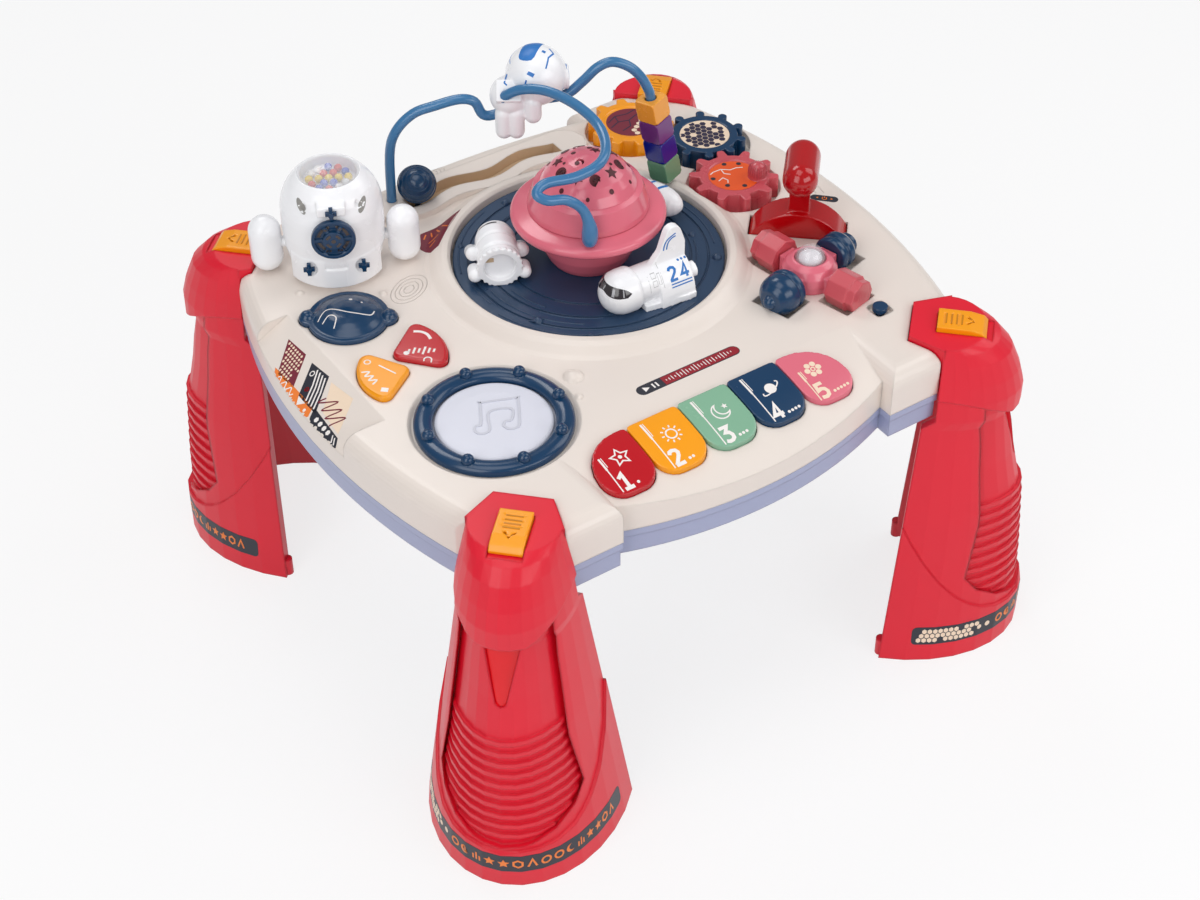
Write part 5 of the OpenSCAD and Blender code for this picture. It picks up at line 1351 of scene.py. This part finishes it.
class TABLE_OT_buttons(bpy.types.Operator):
    """Makes the three buttons beside the drum and the power button"""
    bl_idname = "table.buttons"
    bl_label = "Buttons"

    def execute(self, context):
        dress("mode_button", "key_red", 0.5, 3, 30000)
        dress("song_button", "yellow", 0.5, 3, 30000)
        dress("planet_button", "navy", 0.6, 2, 40000)
        dress("power_button", "navy", 0.3, 2, 20000)
        red = Print("mode_button", from_above())
        red.strip(smooth_path([(-134.6, 23.4), (-130.4, 20.0), (-128.4, 15.0), (-129.0, 9.4)], 6), 2.2)
        red.disc(-150.8, 5.4, 2.1).ring(-142.4, -9.2, 2.7, 1.0)
        for step, tall in enumerate((3.2, 6.4, 4.6, 8.2, 5.4, 3.6)):
            x, y, half = -148.0 + 2.9 * step, 6.6 - 1.9 * step, 0.36 * tall
            red.strip([(x - half, y - half), (x + half, y + half)], 1.5)
        red.lay("mode_button_marks", "ink_white")
        amber = Print("song_button", from_above())
        amber.ring(-178.1, 12.0, 2.2, 0.8, 20)
        amber.strip([(-173.2, 4.6), (-168.0, -9.8)], 1.0)
        amber.area([(-186.2, -20.4), (-182.4, -23.8), (-179.8, -20.6), (-183.4, -17.2)])
        wave = [(-184.6 + (2.3 if step % 2 else -2.3), 4.6 - 2.6 * step) for step in range(7)]
        amber.strip(smooth_path(wave, 5), 1.2)
        amber.lay("song_button_marks", "ink_white")
        planet = Print("planet_button", from_above())
        planet.strip(smooth_path([(-185, 70), (-175, 74), (-165, 61), (-153, 53), (-147, 56)], 8), 0.8)
        planet.strip(smooth_path([(-184, 65), (-177, 67.5), (-174.4, 62), (-180, 55.5)], 6), 0.8)
        planet.disc(-156, 74, 1.3, 12).disc(-151, 67, 0.8, 10)
        planet.lay("planet_button_marks", "ink_white")
        return {"FINISHED"}


class TABLE_OT_keys(bpy.types.Operator):
    """Makes the five keys"""
    bl_idname = "table.keys"
    bl_label = "Keys"

    def execute(self, context):
        for place, look in enumerate(("key_red", "yellow", "key_mint", "navy", "pink"), 1):
            dress("key_%d" % place, look, 0.55, 4, 28000)
            self.marks(place)
        return {"FINISHED"}

    def marks(self, place):
        """A line, a picture, the key's number and as many dots."""
        middle = -8.5 + 41.3 * (place - 3)
        marks = Print("key_%d" % place, from_above(middle, -167))
        left = -12.6 if place == 5 else -10.6
        start = {1: 8.6, 5: 5.6}.get(place, 20.0)
        bend = start - 0.36 * (start + 21)
        marks.strip([(left, start), (left, bend)], 1.5)
        marks.strip([(left + 1.7, start), (left + 1.7, bend + 2)], 0.6)
        marks.strip([(left, bend), (left, -21)], 0.9)
        marks.numeral(str(place), left + 1.6, -20.6, 12.4, 2.7)
        for step in range(place):
            marks.disc(left + 13.4 + 2.9 * step, -18.6 + 0.2 * step, 1.1, 12)
        self.picture(marks, place, -1.5 if place == 5 else 3.2, 3.4)
        marks.lay("key_%d_marks" % place, "inlay_cream" if place == 5 else "ink_white")

    def picture(self, marks, place, x, y):
        """A star, a sun, a moon, a ringed planet or a flower."""
        if place == 1:
            marks.strip(star(x, y, 7.0, 0.5), 1.1, True).disc(x, y, 1.5, 12)
        if place == 2:
            marks.ring(x, y, 3.8, 1.1, 24)
            for ray in zip(circle(x, y, 5.4, 10), circle(x, y, 7.4, 10)):
                marks.strip(ray, 1.1)
        if place == 3:
            marks.strip(crescent(x - 0.6, y, 6.4, 40), 1.0, True).area(star(x + 4.2, y + 2.6, 2.4, 0.45))
        if place == 4:
            marks.disc(x, y, 4.3, 24)
            marks.strip(oval(x, y, 8.4, 2.6, 24, arc(0, 0, 1, 150, 390)), 1.0)
        if place == 5:
            for petal in circle(x, y, 4.6, 6):
                marks.disc(*petal, 2.2, 12)
            marks.ring(x, y, 1.5, 0.9, 12)


# Middles of the three gears, and the radius of the discs laid in them.
BLUE_GEAR = (175.0, 103.1)
ROSE_GEAR = (160, 45)
ORANGE_GEAR = (137.7, 150.1)
INLAY_RADIUS = 19.4
# The knob of the rose gear, from the middle of the gear.
ROSE_KNOB = Vector((14, -11))


class TABLE_OT_gears(bpy.types.Operator):
    """Makes the three meshing gears"""
    bl_idname = "table.gears"
    bl_label = "Gears"

    def execute(self, context):
        dress("gear_blue", "navy", 0.55, 2, 60000)
        dress("gear_pink", "gear_rose", 0.55, 2, 60000)
        dress("gear_yellow", "gear_orange", 0.55, 2, 60000)
        self.comb()
        self.rose()
        self.maroon()
        return {"FINISHED"}

    def comb(self):
        """Dark honeycomb on a cream disc, with a few cells left out."""
        over = from_above(*BLUE_GEAR, 8)
        film("gear_blue", over, "gear_blue_disc", "inlay_cream", circle(0, 0, INLAY_RADIUS, 48))
        z = below("gear_blue", *BLUE_GEAR).z + 0.08
        missing = ((1, -2), (0, 2), (2, 2), (-3, 0), (-2, 3))
        rows = []
        for row in range(-5, 6):
            for column in range(-5, 6):
                x, y = 5.0 * column + 2.5 * (row % 2), 4.33 * row
                if math.hypot(x, y) < 17.4 and (row, column) not in missing:
                    rows.append(((BLUE_GEAR[0] + x, BLUE_GEAR[1] + y, z), 30, 1.0, 1.0))
        grown(
            "gear_blue_cells", tile_tree(), point_mesh("cells", rows), "gear_blue", "comb_dark", "navy",
            Corners=6, Radius=2.62 * MM, Thickness=0.16 * MM)

    def rose(self):
        """Orange disc with dots and jagged lines, cut out round the knob that stands in it."""
        over = from_above(*ROSE_GEAR)
        disc = Print("gear_pink", over)
        hole, least = 7.3, 0.4
        spokes = []
        for step in range(37):
            way = Vector(turned(1, 0, 10 * step))
            along = ROSE_KNOB.dot(way)
            reach = math.sqrt(along * along + INLAY_RADIUS ** 2 - ROSE_KNOB.length_squared) - along
            spokes.append((ROSE_KNOB + hole * way, ROSE_KNOB + reach * way, reach - hole > least))
        for (near, far, whole), (next_near, next_far, next_whole) in zip(spokes, spokes[1:]):
            if whole and next_whole:
                disc.area([near, far, next_far, next_near])
        disc.lay("gear_pink_disc", "inlay_orange")
        dots = Print("gear_pink", over, 1.8)
        for x, y in ((3.0, 16.4), (12.6, 10.8), (17.0, 1.2), (-15.4, 5.4), (-11.6, -7.8), (-1.0, -15.2)):
            dots.disc(x, y, 1.9, 16)
        dots.lay("gear_pink_dots", "ink_dark")
        bolts = Print("gear_pink", over, 2.4)
        bolts.strip([(-14.0, 11.0), (-10.2, 12.4), (-3.2, 12.2), (2.4, 7.6), (7.6, 7.4), (12.4, 5.0)], 0.8)
        bolts.strip([(-3.2, 12.2), (-4.4, 6.4), (-1.0, 2.6)], 0.7)
        bolts.strip([(-13.6, 0.6), (-8.6, 2.2), (-7.2, -2.4), (-9.4, -5.4)], 0.7)
        bolts.lay("gear_pink_lines", "ink_white")
        x0, y0 = Vector(ROSE_GEAR) + ROSE_KNOB
        rise = [(7.05, 277.4), (7.05, 280.2), (6.6, 283.0), (5.3, 285.2)]
        ribs = []
        for x, y in circle(0, 0, 1, 22):
            ribs.append([(x0 + radius * x, y0 + radius * y, z) for radius, z in rise])
        grown(
            "gear_pink_knob_ribs", rail_tree(), path_mesh("ribs", ribs), "gear_pink", "gear_rose",
            "gear_rose", Radius=0.42 * MM, Sides=6)

    def maroon(self):
        """Maroon disc with dark lines and a few pale cells."""
        over = from_above(*ORANGE_GEAR)
        film("gear_yellow", over, "gear_yellow_disc", "inlay_maroon", circle(0, 0, INLAY_RADIUS, 48))
        lines = Print("gear_yellow", over, 1.8)
        lines.strip([(-15, 9), (-6, 13.6), (4, 11.4), (13, 13.2)], 0.9)
        lines.strip([(-17, 2), (-8, 5.6), (0.5, 3.0), (9, 6.4), (17, 4.4)], 0.9)
        lines.strip([(-8, 5.6), (-6, 13.6)], 0.8).strip([(0.5, 3.0), (-3.2, -4.4), (-12, -6.6)], 0.9)
        lines.lay("gear_yellow_lines", "comb_dark")
        z = below("gear_yellow", *ORANGE_GEAR).z + 0.08
        spots = (
            (12.6, 0.8), (8.4, -2.2), (4.2, -5.2), (0.0, -8.0), (8.2, -7.4), (-4.2, -10.8), (4.0, -10.4),
            (-4.4, -15.6), (12.4, -4.4))
        rows = [((ORANGE_GEAR[0] + x, ORANGE_GEAR[1] + y, z), 0, 1.0, 1.0) for x, y in spots]
        grown(
            "gear_yellow_cells", tile_tree(), point_mesh("cells", rows), "gear_yellow", "inlay_cream",
            "gear_orange", Corners=6, Radius=2.35 * MM, Thickness=0.16 * MM)


class TABLE_OT_lever(bpy.types.Operator):
    """Makes the rocking lever"""
    bl_idname = "table.lever"
    bl_label = "Lever"

    def execute(self, context):
        dress("lever", "deep_red", 0.6, 4, 44000)
        keep("lever_pin", "steel")
        return {"FINISHED"}


# Middle of the satellite.
SATELLITE = (134, -81)
# Radius along the front roller, from its inner end: as it is in the CAD, and filled out.
ROLLER_MADE = (
    (0, 13), (2, 14), (5, 14), (6, 12.8), (7.5, 12.8), (8.5, 14), (14, 14), (22, 7), (24, 6), (40, 6))
ROLLER_FULL = (
    (0, 14), (2, 15.2), (5, 15.3), (6, 14.2), (7.5, 14.2), (8.5, 15.3), (14, 15.2), (17, 14.4),
    (20, 12.6), (22, 10.6), (24, 8.6), (24.6, 6), (40, 6))


def level_at(stops, place):
    """The value at a place along (place, value) stops."""
    for (first, low), (last, high) in zip(stops, stops[1:]):
        if place <= last:
            return low + (high - low) * max(0.0, place - first) / (last - first)
    return stops[-1][1]


class TABLE_OT_satellite(bpy.types.Operator):
    """Makes the satellite and its four rollers"""
    bl_idname = "table.satellite"
    bl_label = "Satellite"

    def execute(self, context):
        dress("satellite_body", "pink", 0.5, 3, 60000)
        keep("satellite_dome", "clear")
        for name in ("roller_pink_left", "roller_pink_right"):
            dress(name, "gear_rose", 0.5, 3, 28000)
        for name in ("roller_blue_front", "roller_blue_back"):
            dress(name, "navy", 0.5, 3, 28000)
        self.barrel()
        self.pearl()
        return {"FINISHED"}

    def barrel(self):
        """Fills out the front roller to a barrel with a ball at its end, leaving its bore as it is."""
        bore, length_of_barrel = 5.4, 24.6
        way = Vector((*turned(1, 0, 196), 0))
        start = Vector((*SATELLITE, 273)) + way * 23.5
        mesh = bpy.data.objects["roller_blue_front_moulding"].data
        for vertex in mesh.vertices:
            place = vertex.co / MM - start
            along = place.dot(way)
            spoke = place - way * along
            radius = spoke.length
            if radius > bore and along < length_of_barrel:
                old, new = level_at(ROLLER_MADE, along), level_at(ROLLER_FULL, along)
                grow = min(1.0, max(0.0, (radius - bore) / max(0.6, old - bore)))
                grown_spoke = spoke * ((radius + (new - old) * grow) / radius)
                vertex.co = (start + way * along + grown_spoke) * MM

    def pearl(self):
        """The pearly ball under the clear dome."""
        outline = oval(0, 285.0, 8.6, 5.2, 0, arc(0, 0, 1, -90, 90, 12))
        form = bmesh.new()
        steps = 40
        rings = []
        for radius, z in outline[1:-1]:
            rings.append([form.verts.new((x, y, z)) for x, y in circle(*SATELLITE, radius, steps)])
        foot, top = (form.verts.new((*SATELLITE, z)) for z in (outline[0][1], outline[-1][1]))
        bridge(form, rings)
        for step in range(steps):
            after = (step + 1) % steps
            form.faces.new((foot, rings[0][after], rings[0][step]))
            form.faces.new((top, rings[-1][step], rings[-1][after]))
        solid(form, "satellite_pearl", BODY_OF["satellite_dome"], "pearl", "white", 80)


class TABLE_OT_capsule(bpy.types.Operator):
    """Makes the capsule, its window, its wheel and its two pods"""
    bl_idname = "table.capsule"
    bl_label = "Capsule"

    def execute(self, context):
        dress("capsule_shell", "white", 0.6, 3, 100000)
        keep("capsule_window", "clear")
        keep("capsule_pins", "navy")
        dress("capsule_wheel", "navy", 0.35, 2, 44000)
        dress("pod_left", "white", 0.5, 3, 40000)
        dress("pod_right", "white", 0.5, 3, 40000)
        self.rattle()
        self.face_marks()
        return {"FINISHED"}

    def face_marks(self):
        """Painted shade in the wells of the wheel and in the two oval holes of the capsule."""
        out = Vector((-0.454, -0.891, 0))
        side = Vector((0.891, -0.454, 0))
        middle = Vector((-137, 129, 315.5))
        # The wells of the wheel get dark films of painted shade.
        wells = Print("capsule_wheel", facing(middle + out * 38, side, (0, 0, 1), 20))
        for turn in (0, 90, 180, 270):
            wells.strip(arc(0, 0, 10.4, turn + 12, turn + 78, 12), 2.2)
            wells.area(arc(0, 0, 5.9, turn + 22, turn + 68, 6) + arc(0, 0, 4.0, turn + 68, turn + 22, 6))
        wells.disc(0, 0, 1.6, 16)
        wells.lay("capsule_wheel_wells", "window_dark")
        for name, spot, lean in (
                ("left", (-166.2, 116.9, 335.0), 24), ("right", (-128.3, 97.7, 332.8), -24)):
            face = facing(Vector(spot) + out * 2, side, (0, 0, 1), 12)
            hole = oval(0, 0, 2.5, 4.6, lean, circle(0, 0, 1, 24))
            film("capsule_shell", face, "capsule_hole_" + name, "hole_grey", hole)

    def rattle(self):
        """The loose balls behind the window, in four colours."""
        whole = bmesh.new()
        whole.from_mesh(NODES["rattle_balls"].data)
        bmesh.ops.remove_doubles(whole, verts=whole.verts, dist=WELD)
        islands = []
        left = set(whole.faces)
        while left:
            queue = [left.pop()]
            island = list(queue)
            while queue:
                for edge in queue.pop().edges:
                    for face in edge.link_faces:
                        if face in left:
                            left.discard(face)
                            queue.append(face)
                            island.append(face)
            islands.append(island)
        islands.sort(key=self.middle)
        for place, look in enumerate(("rattle", "rattle_yellow", "rattle_blue", "rattle_white")):
            faces = [face for island in islands[place::4] for face in island]
            faces.sort(key=lambda face: face.index)
            points = sorted({vertex for face in faces for vertex in face.verts}, key=lambda v: v.index)
            number = {vertex: step for step, vertex in enumerate(points)}
            mesh = bpy.data.meshes.new("rattle")
            mesh.from_pydata(
                [vertex.co.copy() for vertex in points], [],
                [[number[vertex] for vertex in face.verts] for face in faces])
            balls = add_piece("rattle_balls_%d" % (place + 1), mesh, "case", look, "rattle", 80)
            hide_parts("rattle_balls")
        whole.free()

    def middle(self, island):
        """Where the faces of one ball lie along x and y, to put the balls in a fixed order."""
        centres = [face.calc_center_median() for face in island]
        return [round(sum(centre[axis] for centre in centres) / len(island), 5) for axis in (0, 1)]


# Bends of the two rails of the maze.
LONG_RAIL = (
    (-68, 169, 267), (-67, 168, 312), (-62, 165, 332), (-50, 159, 346), (-36, 151, 352),
    (-20, 143, 356), (-10, 138, 353), (-5, 135, 342), (4, 131, 341), (25, 120, 350), (48, 107, 354),
    (60, 101, 364), (70, 96, 375), (80, 91, 379), (91, 85, 374), (99, 81, 364), (104, 78, 352))
SHORT_RAIL = (
    (8, 122, 356), (1, 116, 364), (9, 104, 374), (20, 87, 378), (29, 63, 376), (32, 39, 371),
    (24, 17, 368), (10, 4, 366), (-11, 2, 364), (-33, 6, 365), (-42, 4, 361), (-37, -2, 357),
    (-24, -5, 354), (-13, -8, 344), (-9, -11, 330), (-9, -11, 314.2))


# Half width of the slider's groove.
GROOVE_HALF = 6.5


def wave_middle(x):
    """Where the middle line of the slider's groove lies along y."""
    return 161 + 3.4 * math.cos(2 * math.pi * (x + 20) / 66)


class TABLE_OT_maze(bpy.types.Operator):
    """Makes the wires, their beads, the flying figure and the slider"""
    bl_idname = "table.maze"
    bl_label = "Bead maze"

    def execute(self, context):
        self.rails()
        for name in ("bead_green", "bead_blue", "bead_purple", "bead_orange"):
            dress(name, name, 0.4, 3, 30000)
        dress("flying_astronaut", "white", 0.6, 4, 66000)
        self.slider()
        self.lining()
        self.figure_marks()
        return {"FINISHED"}

    def slider(self):
        """The slider ball with its turned rings."""
        keep("slider_knob", "navy")
        middle, radius = Vector((-50, 161, 282.7)), 14.35
        aim = Vector((-0.28, -0.62, 0.73)).normalized()
        side = aim.cross(Vector((0, 0, 1))).normalized()
        top = side.cross(aim)
        loops = []
        for reach in (22, 36, 50, 66, 84):
            rise, spread = turned(radius, 0, reach)
            loops.append([
                middle + aim * rise + spread * (side * x + top * y) for x, y in arc(0, 0, 1, 0, 360, 48)])
        grown(
            "slider_rings", rail_tree(), path_mesh("rings", loops), BODY_OF["slider_knob"], "navy", "navy",
            Radius=0.55 * MM, Sides=8)

    def lining(self):
        """The lining of the wavy groove: two walls, one in the other, each with its own floor."""
        top = 270.85
        form = bmesh.new()
        rows = []
        for inset, z in ((0.12, 262.02), (0.12, top), (0.4, top), (0.4, 262.2)):
            rows.append([form.verts.new((x, y, z)) for x, y in self.groove_loop(inset)])
        bridge(form, rows)
        floors = [form.faces.new(row) for row in (rows[0], rows[-1])]
        bmesh.ops.triangulate(form, faces=floors)
        solid(form, "slider_groove_lining", "case", "groove_tan", "cream_shell")

    def groove_loop(self, inset):
        """Outline of the wavy groove, inset by so many millimetres."""
        first, last, steps = -60 + inset, 74 - inset, 24
        xs = [first + (last - first) * step / steps for step in range(steps + 1)]
        near = [(x, wave_middle(x) - GROOVE_HALF + inset) for x in xs]
        far = [(x, wave_middle(x) + GROOVE_HALF - inset) for x in reversed(xs)]
        return near + far

    def rails(self):
        """The two bent rails; the short one ends in a flattened bulb."""
        long_path = smooth_path(LONG_RAIL, 5) + [(117, 71, 270)]
        short_path = smooth_path(SHORT_RAIL, 5)
        bulb = [1.0] * len(short_path)
        for back, scale in enumerate((1.12, 1.42, 1.56, 1.58, 1.5, 1.36, 1.2, 1.08, 1.03)):
            bulb[-1 - back] = scale
        for name, path, thick in (
                ("maze_wire_long", long_path, None), ("maze_wire_short", short_path, bulb)):
            rail = grown(
                name + "_rail", rail_tree(), path_mesh(name, [path], thick), BODY_OF[name], "wire_blue",
                "wire_blue", Radius=sizes().wire, Sides=24)
            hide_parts(name)

    def figure_marks(self):
        """Blue marks on the helmet, the ear disc and the chest of the flying figure."""
        helmet = (32, 119, 371)
        crown = globe(helmet, (0, 0, 1), (-0.8, -0.6, 0), 22.5, 40)
        marks = Print("flying_astronaut", crown, 0.5)
        marks.area([
            (-2.9, -22), (-2.9, 9.5), (-1.5, 12.5), (2, 13.6), (6, 13.4), (9.6, 12), (10.8, 9.5),
            (10.8, -22)])
        marks.strip([(-16, 13), (-14.2, 9), (-12.4, 4.5), (-13.8, -2.6), (-9.0, -5.2)], 1.3)
        marks.area([(-8.6, 0.4), (-5.8, 0.4), (-5.8, 2.8), (-8.6, 2.8)])
        marks.strip([(20.5, 11), (21.4, 6), (20.6, 0), (18.6, -4)], 0.9)
        marks.lay("figure_helmet_marks", "ink_blue")
        ear = facing((54, 107.5, 372.5), (0.469, 0.883, 0), (0, 0, 1), 20)
        rings = Print("flying_astronaut", ear)
        rings.ring(0, -2, 6.4, 1.1).strip(arc(0, -2.4, 2.6, -30, 250, 18), 0.9)
        rings.lay("figure_ear_marks", "ink_blue")
        chest = facing((10, 113, 378), (0.84, -0.54, 0), (0.25, 0.4, 0.88), 25)
        front = Print("flying_astronaut", chest)
        front.strip([(-5.8, 3.0), (-7.6, -2.8), (-5.8, -4.6)], 1.1)
        front.strip([(8.4, -0.8), (7.2, -4.6), (4.0, -4.8)], 1.2)
        front.area([(8.6, 3.4), (10.2, 5.6), (14.6, 3.6), (13.2, 1.0)])
        front.lay("figure_chest_marks", "ink_blue")


class TABLE_PT_panel(bpy.types.Panel):
    """Lists the steps, colours and sizes of the activity table"""
    bl_idname = "TABLE_PT_panel"
    bl_label = "Activity Table"
    bl_space_type = "VIEW_3D"
    bl_region_type = "UI"
    bl_category = "Activity Table"

    def draw(self, context):
        steps = self.layout.column(align=True)
        for step in STEPS:
            steps.operator(step.bl_idname)
        for settings in (context.scene.table_sizes, context.scene.table_colours):
            box = self.layout.box()
            for name in settings.__annotations__:
                box.prop(settings, name)


STEPS = (
    TABLE_OT_stage, TABLE_OT_case, TABLE_OT_legs, TABLE_OT_turntable, TABLE_OT_lamp, TABLE_OT_drum,
    TABLE_OT_buttons, TABLE_OT_keys, TABLE_OT_gears, TABLE_OT_lever, TABLE_OT_satellite,
    TABLE_OT_capsule, TABLE_OT_maze,
)
CLASSES = (TableColours, TableSizes, *STEPS, TABLE_PT_panel)


def register():
    for each in CLASSES:
        bpy.utils.register_class(each)
    bpy.types.Scene.table_colours = PointerProperty(type=TableColours)
    bpy.types.Scene.table_sizes = PointerProperty(type=TableSizes)


def unregister():
    del bpy.types.Scene.table_sizes
    del bpy.types.Scene.table_colours
    for each in reversed(CLASSES):
        bpy.utils.unregister_class(each)


def main():
    register()
    for step in STEPS:
        family, name = step.bl_idname.split(".")
        getattr(getattr(bpy.ops, family), name)()


if __name__ == "__main__":
    main()
